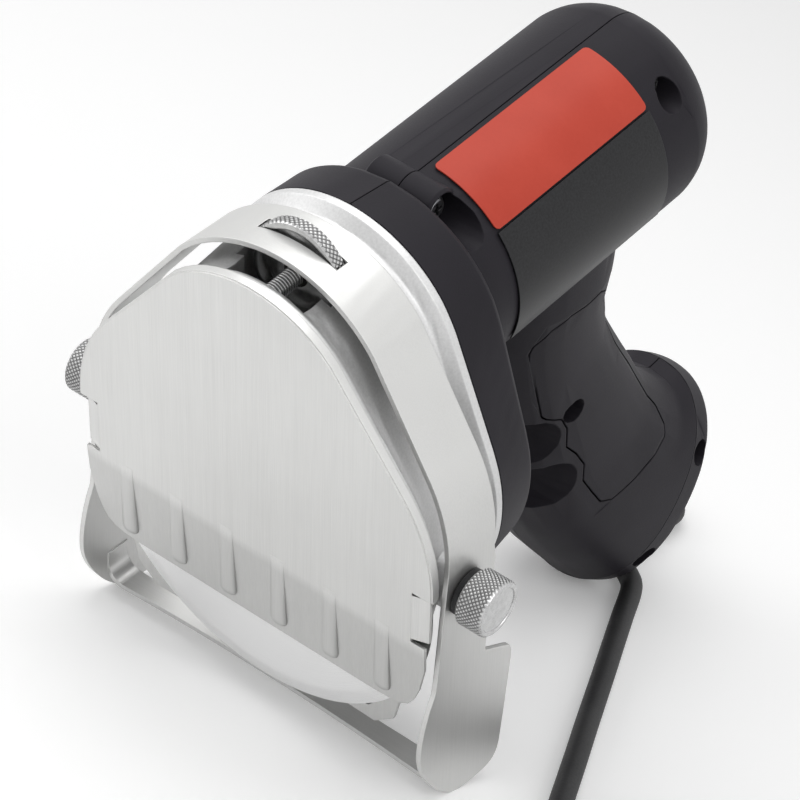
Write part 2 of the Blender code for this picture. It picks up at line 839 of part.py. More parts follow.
# Handle sections: front point, rear point (Y and Z) and half-width share, top to bottom
handle_reach = handle_end_y
handle_drop = -handle_end_z
handle_section_shares = [
    ((0.480, 0.300), (0.830, 0.300), 1.15),
    ((0.500, 0.110), (0.812, 0.100), 1.12),
    ((0.512, 0.010), (0.800, -0.005), 1.05),
    ((0.538, -0.170), (0.815, -0.130), 1.00),
    ((0.562, -0.345), (0.868, -0.280), 1.00),
    ((0.580, -0.500), (0.922, -0.425), 1.03),
    ((0.602, -0.648), (0.967, -0.552), 1.09),
    ((0.650, -0.800), (1.022, -0.640), 1.19),
    ((0.722, -0.990), (1.052, -0.676), 1.28),
]
section_steps = 24


def section_ring(front, rear, half_width):
    """Rounded section between a front and a rear point, a little squarer than an ellipse."""
    middle_y = (front[0] + rear[0]) / 2
    middle_z = (front[1] + rear[1]) / 2
    reach_y = (rear[0] - front[0]) / 2
    reach_z = (rear[1] - front[1]) / 2
    ring = []
    for step in range(section_steps):
        angle = math.tau * step / section_steps
        across = math.copysign(abs(math.cos(angle)) ** 0.9, math.cos(angle))
        along = math.copysign(abs(math.sin(angle)) ** 0.9, math.sin(angle))
        ring.append((half_width * across, middle_y + reach_y * along,
                     middle_z + reach_z * along))
    return ring


def end_ring(depth, inset=0.0):
    """Section of the handle's end band, a depth inward from its end face."""
    normal = (math.sin(handle_end_angle), -math.cos(handle_end_angle))
    upward = (math.cos(handle_end_angle), math.sin(handle_end_angle))
    half = handle_end_half_depth - inset
    middle = (handle_end_y - normal[0] * depth, handle_end_z - normal[1] * depth)
    front = (middle[0] - upward[0] * half, middle[1] - upward[1] * half)
    rear = (middle[0] + upward[0] * half, middle[1] + upward[1] * half)
    return section_ring(front, rear, handle_end_half_width - inset)


def handle_rings(inset=0.0):
    """Sections of the handle from inside the barrel to the end band."""
    rings = []
    for front, rear, width_share in handle_section_shares:
        front_point = (front[0] * handle_reach, front[1] * handle_drop)
        rear_point = (rear[0] * handle_reach, rear[1] * handle_drop)
        length = math.dist(front_point, rear_point)
        step_y = (rear_point[0] - front_point[0]) / length * inset
        step_z = (rear_point[1] - front_point[1]) / length * inset
        rings.append(section_ring((front_point[0] + step_y, front_point[1] + step_z),
                                  (rear_point[0] - step_y, rear_point[1] - step_z),
                                  handle_half_width * width_share - inset))
    return rings


# Depth share behind the collar's edge and radius share for the barrel's rounded rear end
barrel_end_shares = [(0.00, 1.000), (0.28, 0.970), (0.53, 0.907), (0.74, 0.815),
                     (0.90, 0.690), (1.00, 0.552)]


def barrel_profile(inset=0.0):
    """Barrel profile from inside the collar to the rounded rear end."""
    depth = barrel_end - barrel_full_end
    profile = [(collar_back - overrun, barrel_radius - inset)]
    for depth_share, radius_share in barrel_end_shares:
        profile.append((barrel_full_end + depth * depth_share - inset * depth_share,
                        barrel_radius * radius_share - inset))
    return profile


def collar_rings(inset=0.0):
    """Collar behind the casting: its sides draw in and its rear edge is rounded."""
    start = casting_back + seat_gap
    rise = collar_back - start
    edge = collar_edge_y - collar_back
    rings = []
    for depth, collar_share, drawn in ((0.0, 0.0, 0.0), (rise * 0.5, 0.5, 0.0),
                                       (rise, 1.0, 0.0), (rise + edge * 0.5, 1.0, edge * 0.25),
                                       (rise + edge * 0.9, 1.0, edge * 0.8),
                                       (rise + edge, 1.0, edge * 1.6)):
        radii = mixed(rear_radii, collar_radii, collar_share)
        rings.append(polar_ring(radii, start + depth, head_centre_z, drawn + inset))
    return rings


def make_housing_form():
    """Outer shape of both halves together: collar, barrel, cross boss and handle."""
    form = loft("housing_form", collar_rings(), None)
    barrel = turned("barrel_form", barrel_profile(), None, (0.0, 0.0, motor_z), steps=32)
    handle = loft("handle_form", handle_rings() + [end_ring(cap_depth + seat_gap)], None)
    boss = turned("cross_boss_form",
                  [(-cross_boss_half, cross_boss_radius - run_gap),
                   (-cross_boss_half + run_gap, cross_boss_radius),
                   (cross_boss_half - run_gap, cross_boss_radius),
                   (cross_boss_half, cross_boss_radius - run_gap)],
                  None, (0.0, cross_boss_y, cross_boss_z), "X", steps=round_steps)
    for tool in (barrel, handle, boss):
        combine(form, tool, "UNION")
    form.hide_render = True
    form.display_type = "WIRE"
    return form, handle


def housing_cuts():
    """Hollows that both halves share."""
    floor_rings = collar_rings(shell_wall)[:4]
    hollow = [[(x, y - overrun if index == 0 else y, z) for x, y, z in ring]
              for index, ring in enumerate(floor_rings[:3])]
    cuts = [loft("collar_hollow_cut", hollow, None)]
    inner = barrel_radius - shell_wall
    cuts.append(turned("barrel_front_cut", [(casting_back, inner), (bulkhead_front, inner)],
                       None, (0.0, 0.0, motor_z), steps=32))
    pillar = turned("cross_pillar_form", [(-barrel_radius, cross_boss_radius - seat_gap),
                                          (barrel_radius, cross_boss_radius - seat_gap)],
                    None, (0.0, cross_boss_y, cross_boss_z), "X", steps=inner_steps)
    for cut in cuts:
        combine(cut, pillar)
    rear = [(y, radius) for y, radius in barrel_profile(shell_wall) if y > barrel_full_end]
    rear = [(bulkhead_back, inner * 0.95)] + [
        (y, radius) for y, radius in rear if y > bulkhead_back + run_gap]
    cuts.append(turned("barrel_rear_cut", rear, None, (0.0, 0.0, motor_z), steps=32))
    cuts.append(turned("rear_bearing_cut", [(bulkhead_front - overrun, bearing_radius + seat_gap),
                                            (bulkhead_back + overrun, bearing_radius + seat_gap)],
                       None, (0.0, 0.0, motor_z)))
    return cuts


# Channel of the leads: Y and Z of its middle, from the end band up into the barrel
lead_channel_shares = [(0.945, -0.930), (0.885, -0.740), (0.820, -0.540), (0.770, -0.330),
                       (0.752, -0.120), (0.760, 0.060), (0.768, 0.215)]


def channel_points():
    """Middle of the lead channel in the handle."""
    return [(handle_reach * y, handle_drop * z) for y, z in lead_channel_shares]


def channel_cut():
    """Round channel that carries the two leads through the handle."""
    points = channel_points()
    rings = []
    for index, (y, z) in enumerate(points):
        before = points[max(index - 1, 0)]
        after = points[min(index + 1, len(points) - 1)]
        length = math.dist(before, after)
        ny, nz = (after[1] - before[1]) / length, -(after[0] - before[0]) / length
        ring = []
        for step in range(small_steps):
            angle = math.tau * step / small_steps
            side = lead_channel_radius * math.sin(angle)
            ring.append((lead_channel_radius * math.cos(angle), y + ny * side, z + nz * side))
        rings.append(ring)
    return loft("lead_channel_cut", rings, None)


# Grip panel outline on the handle's side: Y and Z shares of the handle's reach and drop
panel_shares = [
    (0.700, 0.095), (0.618, 0.102), (0.580, 0.079), (0.557, 0.036), (0.554, 0.008),
    (0.601, -0.262), (0.612, -0.283), (0.641, -0.306), (0.655, -0.352), (0.659, -0.425),
    (0.683, -0.474), (0.702, -0.530), (0.703, -0.592), (0.728, -0.664), (0.748, -0.717),
    (0.774, -0.733), (0.904, -0.704), (0.936, -0.694), (0.949, -0.668), (0.940, -0.600),
    (0.870, -0.385), (0.812, -0.235), (0.775, -0.095), (0.735, 0.050),
]

# Middles of the two finger hollows: Y and Z shares of the handle's reach and drop
finger_shares = [(0.592, -0.370), (0.637, -0.560)]


def panel_outline(inset):
    """Grip panel outline, drawn in towards its middle."""
    points = [(y * handle_reach, z * handle_drop) for y, z in panel_shares]
    count = len(points)
    result = []
    for index, (y, z) in enumerate(points):
        y0, z0 = points[index - 1]
        y1, z1 = points[(index + 1) % count]
        dy, dz = y1 - y0, z1 - z0
        length = math.hypot(dy, dz)
        result.append((y - dz / length * inset, z + dy / length * inset))
    return result


def finger_outline(middle_y, middle_z):
    """Slot that is open to the front, round at its inner end."""
    points = [(middle_y - finger_slot, middle_z - finger_radius)]
    for step in range(arch_steps + 1):
        angle = math.pi * (step / arch_steps - 0.5)
        points.append((middle_y + math.cos(angle) * finger_radius,
                       middle_z + math.sin(angle) * finger_radius))
    return points + [(middle_y - finger_slot, middle_z + finger_radius)]


def fastener_places():
    """Cross screws of the housing: Y, Z and the depth of the head's seat."""
    return [("collar", cross_boss_y, cross_boss_z, cross_boss_half * 0.62),
            ("barrel", bulkhead_front + barrel_radius * 0.18, motor_z + barrel_radius * 0.644,
             barrel_radius * 0.48),
            ("grip", handle_reach * 0.668, -handle_drop * 0.298, handle_half_width * 0.50)]


def make_housing():
    """Two plastic halves that meet at the middle, with their grip panels and cross screws."""
    form, handle = make_housing_form()
    cuts = housing_cuts()
    channel = channel_cut()
    reach = handle_reach + handle_drop
    notch = block("lead_notch_cut",
                  (-lead_channel_radius, bulkhead_front - overrun, motor_z - barrel_radius
                   + shell_wall + run_gap),
                  (lead_channel_radius, bulkhead_back + overrun,
                   motor_z - bearing_radius - shell_wall))
    fingers = [prism("finger_cut", finger_outline(y * handle_reach, z * handle_drop), -reach,
                     reach, None, "X") for y, z in finger_shares]
    switch_hole = block("switch_hole_cut",
                        (-switch_half_width - seat_gap, bulkhead_back, motor_z
                         - switch_half_height - seat_gap),
                        (switch_half_width + seat_gap, barrel_end + overrun, motor_z
                         + switch_half_height + seat_gap))
    for name, side in (("right", 1.0), ("left", -1.0)):
        ends = sorted((side * seat_gap / 2, side * reach))
        half = block("housing_" + name, (ends[0], -reach, -reach), (ends[1], reach, reach),
                     plastic_dark)
        combine(half, form, "INTERSECT")
        for tool in cuts + [channel, notch, switch_hole] + fingers:
            combine(half, tool)
        for spot, y, z, seat in fastener_places():
            if side > 0.0:
                wide = cross_boss_radius - cross_boss_wall if spot == "collar" else (
                    housing_hole_radius)
                hole = turned("screw_head_cut", [(seat, wide), (reach, wide)], None,
                              (0.0, y, z), "X", steps=inner_steps)
                combine(half, hole)
            far = seat + run_gap if side > 0.0 else overrun
            hole = turned("screw_shank_cut", [(-seat, housing_shank_radius + seat_gap),
                                              (far, housing_shank_radius + seat_gap)],
                          None, (0.0, y, z), "X", steps=small_steps)
            combine(half, hole)
        ends = sorted((side * panel_start, side * reach))
        pocket = prism("panel_pocket_cut", panel_outline(0.0), ends[0], ends[1], None, "X")
        combine(half, pocket)
        ends = sorted((side * (panel_start + seat_gap), side * reach))
        panel = prism("grip_panel_" + name, panel_outline(panel_gap), ends[0], ends[1],
                      plastic_dark, "X")
        combine(panel, handle, "INTERSECT")
        for tool in fingers:
            combine(panel, tool)
        if side > 0.0:
            _, y, z, _ = fastener_places()[2]
            hole = turned("panel_screw_cut", [(0.0, housing_hole_radius),
                                              (reach, housing_hole_radius)],
                          None, (0.0, y, z), "X", steps=small_steps)
            combine(panel, hole)
    for spot, y, z, seat in fastener_places():
        top = seat + seat_gap + housing_head_height
        profile = [(-seat + seat_gap, housing_shank_radius),
                   (seat + seat_gap, housing_shank_radius),
                   (seat + seat_gap, housing_head_radius),
                   (top - run_gap, housing_head_radius), (top, housing_head_radius - run_gap)]
        screw = turned("housing_screw_" + spot, profile, steel_dark, (0.0, y, z), "X",
                       steps=small_steps)
        cross_recess(screw, top, (y, z))


def cross_recess(screw, top, place):
    """Cross-shaped driver recess in a screw head that faces +X."""
    depth = housing_head_height * 0.6
    long_half = housing_head_radius * 0.62
    thin_half = housing_head_radius * 0.16
    for half_y, half_z in ((long_half, thin_half), (thin_half, long_half)):
        slot = block("driver_recess_cut", (top - depth, -half_y, -half_z),
                     (top + overrun, half_y, half_z), place=(0.0, place[0], place[1]))
        combine(screw, slot)


make_housing()


def make_end_cap():
    """Band that closes the handle's end, with the hole of the strain relief."""
    rings = [end_ring(cap_depth), end_ring(cap_round), end_ring(cap_round * 0.4, cap_round * 0.3),
             end_ring(0.0, cap_round)]
    cap = loft("handle_end_cap", rings, plastic_dark)
    relief_hole = turned("relief_hole_cut",
                         [(-relief_plug_length - seat_gap, relief_plug_radius + seat_gap),
                          (overrun, relief_plug_radius + seat_gap)], None, steps=small_steps,
                         parent=relief_axis)
    combine(cap, relief_hole)
    for index, (share, seat) in enumerate(((-0.56, 0.52), (0.44, 0.62))):
        y, z = end_point(share * handle_end_half_depth, cap_depth * 0.55)
        base = handle_end_half_width * seat
        hole = turned("cap_screw_hole_cut", [(base, housing_hole_radius),
                                             (handle_end_half_width * 2, housing_hole_radius)],
                      None, (0.0, y, z), "X", steps=small_steps)
        combine(cap, hole)
        shank = turned("cap_screw_shank_cut",
                       [(base * 0.55, housing_shank_radius + seat_gap),
                        (base + run_gap, housing_shank_radius + seat_gap)],
                       None, (0.0, y, z), "X", steps=small_steps)
        combine(cap, shank)
        top = base + seat_gap + housing_head_height
        profile = [(base * 0.55 + seat_gap, housing_shank_radius),
                   (base + seat_gap, housing_shank_radius),
                   (base + seat_gap, housing_head_radius),
                   (top - run_gap, housing_head_radius), (top, housing_head_radius - run_gap)]
        screw = turned("cap_screw_%d" % (index + 1), profile, steel_dark, (0.0, y, z), "X",
                       steps=small_steps)
        cross_recess(screw, top, (y, z))


def end_point(up, depth):
    """Y and Z of a point on the handle's end face, a depth inward from it."""
    return (handle_end_y + math.cos(handle_end_angle) * up - math.sin(handle_end_angle) * depth,
            handle_end_z + math.sin(handle_end_angle) * up + math.cos(handle_end_angle) * depth)


relief_y, relief_z = end_point(end_hole_offset, 0.0)
relief_axis = empty("relief_axis", (0.0, relief_y, relief_z), slicer_rest,
                    handle_end_angle - math.pi / 2)
make_end_cap()


def make_strain_relief():
    """Tapered rubber sleeve with rings, seated in the end cap."""
    profile = [(-relief_plug_length, relief_plug_radius), (seat_gap, relief_plug_radius),
               (seat_gap, relief_flange_radius),
               (seat_gap + relief_flange * 0.7, relief_flange_radius),
               (seat_gap + relief_flange, relief_flange_radius - relief_flange * 0.3),
               (seat_gap + relief_flange, relief_root_radius)]
    length = relief_length - relief_flange
    for index in range(relief_rings):
        for share, dip in ((0.15, 0.0), (0.25, relief_ring_depth), (0.75, relief_ring_depth),
                           (0.85, 0.0)):
            along = (index + share) / (relief_rings + 1)
            radius = relief_root_radius + (relief_tip_radius - relief_root_radius) * along
            profile.append((relief_flange + length * along, radius - dip))
    profile.append((relief_length, relief_tip_radius))
    return turned("strain_relief", profile, rubber_black, parent=relief_axis,
                  steps=small_steps)


make_strain_relief()


# Slice guard, thumb screws and slice wheel

guard_axis = empty("guard_axis", (0.0, pivot_y, pivot_z), slicer_rest, guard_rest_angle)
wheel_axis = empty("wheel_axis", (0.0, wheel_centre_y, wheel_centre_z), guard_axis)

# Side plate outline below the strap: Y share of the foot's reach, Z share of its drop
plate_shares = [
    (-0.335, -0.330), (-0.350, -0.400), (-0.405, -0.445), (-0.455, -0.500), (-0.492, -0.560),
    (-0.508, -0.620), (-0.500, -0.675), (-0.460, -0.725), (-0.375, -0.785), (-0.277, -0.835),
    (-0.152, -0.890), (0.000, -0.940), (0.120, -0.972), (0.280, -0.993), (0.480, -1.000),
    (0.720, -1.000), (0.850, -0.990), (0.930, -0.962), (0.962, -0.920), (0.980, -0.775),
    (1.000, -0.530), (0.993, -0.490), (0.955, -0.460), (0.890, -0.447), (0.500, -0.382),
    (0.482, -0.365), (0.482, 0.040),
]


def arch_path(circles, inset, steps):
    """Points along an arch from its right side over the top to its left side."""
    (_, top_z, top_radius), (side_x, side_z, side_radius), _ = circles
    away = math.hypot(side_x, side_z - top_z)
    lean = math.atan2(side_z - top_z, side_x)
    tangent = lean + math.acos((top_radius - side_radius) / away)
    points = []
    for step in range(steps + 1):
        angle = tangent * step / steps
        points.append((side_x + (side_radius - inset) * math.cos(angle),
                       side_z + (side_radius - inset) * math.sin(angle)))
    for step in range(1, steps + 1):
        angle = tangent + (math.pi / 2 - tangent) * step / steps
        points.append(((top_radius - inset) * math.cos(angle),
                       top_z + (top_radius - inset) * math.sin(angle)))
    return points + [(-x, z) for x, z in points[-2::-1]]


def guard_mesh():
    """Bent sheet: an arched strap whose ends widen into two flat side plates."""
    circles = arch_circles()
    outer = arch_path(circles, 0.0, arch_steps)
    inner = arch_path(circles, sheet, arch_steps)
    low = [(y * foot_reach, z * foot_drop) for y, z in plate_shares]
    join = head_side_height - pivot_z
    border = [(-strap_front, join)] + low + [(strap_back, join)]
    vertices = []
    faces = []

    def add(point):
        vertices.append(point)
        return len(vertices) - 1

    strap = []
    for path in (outer, inner):
        strap.append([(add((x, -strap_front, z - pivot_z)), add((x, strap_back, z - pivot_z)))
                      for x, z in path])
    for near, far in zip(range(len(outer) - 1), range(1, len(outer))):
        for layer in strap:
            faces.append((layer[near][0], layer[near][1], layer[far][1], layer[far][0]))
        for edge in range(2):
            faces.append((strap[0][near][edge], strap[0][far][edge], strap[1][far][edge],
                          strap[1][near][edge]))
    for end, side in ((0, 1.0), (-1, -1.0)):
        rims = []
        for layer, x in ((0, side * head_half_width), (1, side * (head_half_width - sheet))):
            ring = [strap[layer][end][0]]
            ring += [add((x, y, z)) for y, z in border[1:-1]]
            ring.append(strap[layer][end][1])
            faces.append(tuple(ring))
            rims.append(ring)
        for near in range(len(border) - 1):
            faces.append((rims[0][near], rims[0][near + 1], rims[1][near + 1], rims[1][near]))
    return mesh_from("guard_frame", vertices, faces)


def make_guard():
    """Guard with its front bar between the feet, the wheel's slot and the pivot holes."""
    guard = add_object("guard_frame", guard_mesh(), steel_brushed, parent=guard_axis)
    embed = seat_gap
    middle = bar_bend + sheet / 2
    leg_x = head_half_width - sheet / 2 - embed
    path = [(leg_x, -bar_drop + middle * 1.6), (leg_x, -bar_drop + middle)]
    steps = 6
    for step in range(1, steps + 1):
        angle = math.pi / 2 * step / steps
        path.append((leg_x - middle * (1.0 - math.cos(angle)),
                     -bar_drop + middle * (1.0 - math.sin(angle))))
    spans = 8
    flat = path[-1][0]
    for step in range(1, spans):
        path.append((flat - 2 * flat * step / spans, -bar_drop))
    path += [(-x, z) for x, z in path[:steps + 2][::-1]]
    loops = []
    for index, (x, z) in enumerate(path):
        before = path[max(index - 1, 0)]
        after = path[min(index + 1, len(path) - 1)]
        length = math.dist(before, after)
        nx = -(after[1] - before[1]) / length * sheet / 2
        nz = (after[0] - before[0]) / length * sheet / 2
        front = -bar_front + bar_bow * (1.0 - min(abs(x) / flat, 1.0) ** 2)
        loops.append([(x + nx, front, z + nz), (x + nx, bar_back, z + nz),
                      (x - nx, bar_back, z - nz), (x - nx, front, z - nz)])
    bar = loft("guard_bar_form", loops, None, parent=guard_axis)
    combine(guard, bar, "UNION")
    slot = block("wheel_slot_cut", (-slot_half_length, slot_front, wheel_centre_z),
                 (slot_half_length, slot_back, head_top), parent=guard_axis)
    combine(guard, slot)
    clearance = turned("wheel_clearance_cut",
                       [(slot_front, wheel_radius + run_gap), (slot_back, wheel_radius + run_gap)],
                       None, (0.0, 0.0, wheel_centre_z), parent=guard_axis, steps=40)
    combine(guard, clearance)
    hole = turned("guard_pivot_cut", [(-knob_outer, guard_hole_radius),
                                      (knob_outer, guard_hole_radius)], None,
                  axis="X", parent=guard_axis, steps=small_steps)
    combine(guard, hole)
    return guard


def make_thumb_screws():
    """Knurled thumb screws on the pivot, each with a dark spacer behind its knob."""
    for name, side in (("right", 1.0), ("left", -1.0)):
        profile = [(screw_shank_end, screw_shank_radius), (knob_inner, screw_shank_radius),
                   (knob_inner, knob_radius - knob_bevel),
                   (knob_inner + knob_bevel, knob_radius),
                   (knob_outer - knob_bevel, knob_radius),
                   (knob_outer, knob_radius - knob_bevel)]
        turned("thumb_screw_" + name, [(side * x, radius) for x, radius in profile],
               steel_bright, (0.0, pivot_y, pivot_z),"X", steps=inner_steps)
        near = head_half_width + seat_gap
        far = knob_inner - seat_gap
        bore = screw_shank_radius + seat_gap
        profile = [(near, bore), (near, spacer_radius), (far, spacer_radius), (far, bore)]
        turned("pivot_spacer_" + name, [(side * x, radius) for x, radius in profile],
               plastic_black, (0.0, pivot_y, pivot_z), "X", bore=True, steps=inner_steps)


def make_wheel():
    """Knurled slice wheel that fills the strap's slot and runs on the threaded rod."""
    half = wheel_thickness / 2
    bore = rod_radius + rod_play
    bevel = knob_bevel * 1.2
    profile = [(-half, bore), (-half, wheel_radius - bevel), (-half + bevel * 0.6, wheel_radius),
               (half - bevel * 0.6, wheel_radius), (half, wheel_radius - bevel), (half, bore)]
    turned("slice_wheel", profile, steel_bright, bore=True, parent=wheel_axis)


def make_rod():
    """Rod along Y across the casting's window, threaded where it shows."""
    profile = [(rod_front, rod_radius - rod_thread), (rod_front + rod_thread, rod_radius),
               (window_front, rod_radius)]
    count = int((pocket_front - window_front) / rod_pitch / 2)
    for index in range(count):
        start = window_front + rod_pitch * (index * 2 + 0.5)
        profile.append((start, rod_radius - rod_thread))
        profile.append((start + rod_pitch / 2, rod_radius))
    profile.append((rod_back, rod_radius))
    turned("adjuster_rod", profile, steel_bright, (0.0, 0.0, rod_z), steps=small_steps)


make_guard()
make_thumb_screws()
make_wheel()
make_rod()


# Front cover

# Strip outline: X share of its half width, Z share of its height, from the fold down
strip_shares = [(1.000, 0.00), (0.997, 0.30), (0.966, 0.62), (0.935, 0.80), (0.905, 0.90),
                (0.865, 0.955), (0.800, 0.985), (0.700, 1.000)]


def cover_sheet_mesh():
    """Flat sheet with its arch, slits and a strip that leans back below the fold line."""
    circles = cover_circles()
    inset = cover_sheet / 2
    arch = arch_path(circles, inset, arch_steps)
    edge = head_half_width - cover_side_inset - inset
    notch = edge - slit_depth
    right = [(strip_half_width * x, cover_fold_z - strip_height * z) for x, z in strip_shares]
    right.reverse()
    right += [(strip_half_width, slit_lower_z - slit_height), (notch, slit_lower_z - slit_height),
              (notch, slit_upper_z + slit_height), (edge, slit_upper_z + slit_height)]
    outline = right + arch + [(-x, z) for x, z in right[::-1]]
    fold = len(strip_shares) - 1
    far_fold = len(outline) - 1 - fold
    vertices = []
    for layer in range(2):
        for x, z in outline:
            lean = max(cover_fold_z - z, 0.0) / strip_height * cover_fold_back
            vertices.append((x, cover_front + layer * cover_sheet + lean, z))
    count = len(outline)
    faces = []
    for layer in range(2):
        start = layer * count
        faces.append(tuple(start + index for index in range(fold, far_fold + 1)))
        faces.append(tuple(start + index for index in
                           list(range(far_fold, count)) + list(range(0, fold + 1))))
    for index in range(count):
        following = (index + 1) % count
        faces.append((index, following, count + following, count + index))
    return mesh_from("front_cover", vertices, faces)


# Each rib rises from the fold and ends bluntly: length share, width share, height share
rib_shares = [(0.00, 0.45, 0.10), (0.30, 0.70, 0.45), (0.62, 0.90, 0.80), (0.90, 1.00, 1.00),
              (0.98, 0.92, 0.85), (1.00, 0.70, 0.40)]


def make_cover():
    """Cover with its short lip, two bent-back tabs and six pressed ribs on the strip."""
    cover = add_object("front_cover", cover_sheet_mesh(), steel_brushed)
    circles = cover_circles()
    edge = head_half_width - cover_side_inset
    paths = []
    for inset in (0.0, cover_sheet):
        arch = arch_path(circles, inset, arch_steps)
        low = (edge - inset, slit_upper_z + slit_height)
        paths.append([low] + arch + [(-low[0], low[1])])
    loops = []
    start = cover_front + cover_sheet * 0.4
    for (x0, z0), (x1, z1) in zip(*paths):
        loops.append([(x0, start, z0), (x0, cover_lip_back, z0), (x1, cover_lip_back, z1),
                      (x1, start, z1)])
    combine(cover, loft("cover_lip_form", loops, None), "UNION")
    for side in (1.0, -1.0):
        root = edge - cover_sheet / 2 - slit_depth
        outline = [(side * (root - cover_sheet), cover_front + cover_sheet * 0.1),
                   (side * root, cover_front + cover_sheet * 0.1),
                   (side * (root + tab_reach), cover_front + tab_lean),
                   (side * (root + tab_reach), cover_front + tab_lean + cover_sheet),
                   (side * (root - cover_sheet), cover_front + cover_sheet * 0.9)]
        loops = [[(x, y, z) for x, y in outline] for z in (slit_lower_z, slit_upper_z)]
        combine(cover, loft("cover_tab_form", loops, None), "UNION")
    lean = cover_fold_back / strip_height
    sink = cover_sheet * 0.5
    for index in range(rib_count):
        middle = (index - (rib_count - 1) / 2) * rib_pitch
        loops = []
        for along, wide, size in rib_shares:
            z = rib_top_z - rib_length * along
            face = cover_front + (cover_fold_z - z) * lean
            ring = []
            for step in range(7):
                angle = math.pi * step / 6
                ring.append((middle + rib_width / 2 * wide * math.cos(angle),
                             face + sink - (rib_rise * size + sink) * math.sin(angle), z))
            loops.append(ring)
        combine(cover, loft("cover_rib_form", loops, None), "UNION")
    return cover


make_cover()


# Label and rocker switch on the barrel

def make_label(name, low, high, back, material):
    """Thin curved label on the barrel between two angles."""
    inner = barrel_radius + seat_gap
    steps = max(4, round((high - low) / math.radians(6.0)))
    loops = []
    for step in range(steps + 1):
        angle = low + (high - low) * step / steps
        ring = []
        for radius, y in ((inner, label_front), (inner + label_thickness, label_front),
                          (inner + label_thickness, back), (inner, back)):
            ring.append((radius * math.cos(angle), y, radius * math.sin(angle)))
        loops.append(ring)
    return loft(name, loops, material, (0.0, 0.0, motor_z))


def make_switch():
    """Rocker switch: a body with a bezel set in the barrel's end, and the rocker in it."""
    front = barrel_end - switch_depth
    body = block("switch_body", (-switch_half_width, front, -switch_half_height),
                 (switch_half_width, barrel_end + seat_gap + overrun * 0.1, switch_half_height),
                 plastic_black, place=(0.0, 0.0, motor_z))
    wide = switch_half_width + switch_bezel
    tall = switch_half_height + switch_bezel
    face = barrel_end + seat_gap + switch_bezel_thickness
    bezel = block("switch_bezel_form", (-wide, barrel_end + seat_gap, -tall),
                  (wide, face, tall), place=(0.0, 0.0, motor_z))
    combine(body, bezel, "UNION")
    half_x = switch_half_width - switch_wall
    half_z = switch_half_height - switch_wall
    pocket = block("switch_pocket_cut", (-half_x, front + switch_wall * 2, -half_z),
                   (half_x, face + overrun, half_z), place=(0.0, 0.0, motor_z))
    combine(body, pocket)
    reach = half_z - rocker_rise / 2
    outline = [(rocker_sink + rocker_rise, reach), (rocker_sink, 0.0),
               (rocker_sink + rocker_rise, -reach), (0.0, -reach)]
    for step in range(1, 6):
        angle = math.pi * step / 6
        outline.append((-rocker_sink * math.sin(angle), -reach * 0.8 * math.cos(angle)))
    outline.append((0.0, reach))
    rocker = prism("switch_rocker", outline, -half_x + seat_gap, half_x - seat_gap,
                   plastic_black, "X", parent=rocker_axis)
    return rocker


rocker_rest_angle = math.radians(7.0)
rocker_axis = empty("rocker_axis", (0.0, barrel_end - rocker_rise, motor_z), slicer_rest,
                    rocker_rest_angle)
make_label("label_panel", label_low, label_high, label_back, label_red)
make_label("rating_plate", plate_low, label_low - label_thickness / barrel_radius * 2,
           label_back, plastic_black)
make_switch()


def make_leads():
    """Two leads from the end band up the handle's channel and into the barrel."""
    radius = lead_channel_radius * 0.16
    for name, side in (("live", 1.0), ("neutral", -1.0)):
        points = [(side * lead_channel_radius * 0.35, y, z) for y, z in channel_points()[:-1]]
        turn = (side * lead_channel_radius * 0.35, bulkhead_front - overrun,
                motor_z - barrel_radius + shell_wall * 1.8)
        points.append(turn)
        points.append((turn[0], bulkhead_back + run_gap, turn[2]))
        curve = bpy.data.curves.new("lead_" + name, "CURVE")
        curve.dimensions = "3D"
        curve.bevel_depth = radius
        curve.bevel_resolution = 1
        curve.use_fill_caps = True
        spline = curve.splines.new("POLY")
        spline.points.add(len(points) - 1)
        for point, place in zip(spline.points, points):
            point.co = (*place, 1.0)
        curve.materials.append(copper_wound)
        lead = bpy.data.objects.new("lead_" + name, curve)
        bpy.context.collection.objects.link(lead)
        lead.parent = slicer_rest


make_leads()


# Resting pose: the head leans back on the guard's feet and the handle's end

def lean_angle():
    """Lean at which the guard's foot and the handle's end touch one plane."""
    end_y, end_z = end_point(-handle_end_half_depth, cap_round)
    cosine, sine = math.cos(guard_rest_angle), math.sin(guard_rest_angle)
    foot = []
    for y_share, z_share in plate_shares:
        y, z = y_share * foot_reach, z_share * foot_drop
        foot.append((pivot_y + y * cosine - z * sine, pivot_z + y * sine + z * cosine))
    low, high = 0.0, math.pi / 3
    for _ in range(60):
        lean = (low + high) / 2
        foot_low = min(y * math.sin(lean) + z * math.cos(lean) for y, z in foot)
        end_low = end_y * math.sin(lean) + end_z * math.cos(lean)
        if end_low > foot_low:
            high = lean
        else:
            low = lean
    return lean


def settle():
    """Lean the head and lift it so that its lowest point is at zero, centred over the base."""
    slicer_rest.rotation_euler = (lean_angle(), 0.0, 0.0)
    bpy.context.view_layer.update()
    graph = bpy.context.evaluated_depsgraph_get()
    lowest = [math.inf] * 3
    highest = [-math.inf] * 3
    for piece in list(bpy.data.objects):
        if piece.type != "MESH" or piece.hide_render or piece.name == "strain_relief":
            continue
        evaluated = piece.evaluated_get(graph)
        mesh = evaluated.to_mesh()
        for vertex in mesh.vertices:
            place = piece.matrix_world @ vertex.co
            for axis in range(3):
                lowest[axis] = min(lowest[axis], place[axis])
                highest[axis] = max(highest[axis], place[axis])
        evaluated.to_mesh_clear()
    slicer_rest.location = (-(lowest[0] + highest[0]) / 2, -(lowest[1] + highest[1]) / 2,
                            -lowest[2])
    bpy.context.view_layer.update()
    print("size without the lead:", [round(high - low, 5) for low, high in
                                     zip(lowest, highest)])


settle()


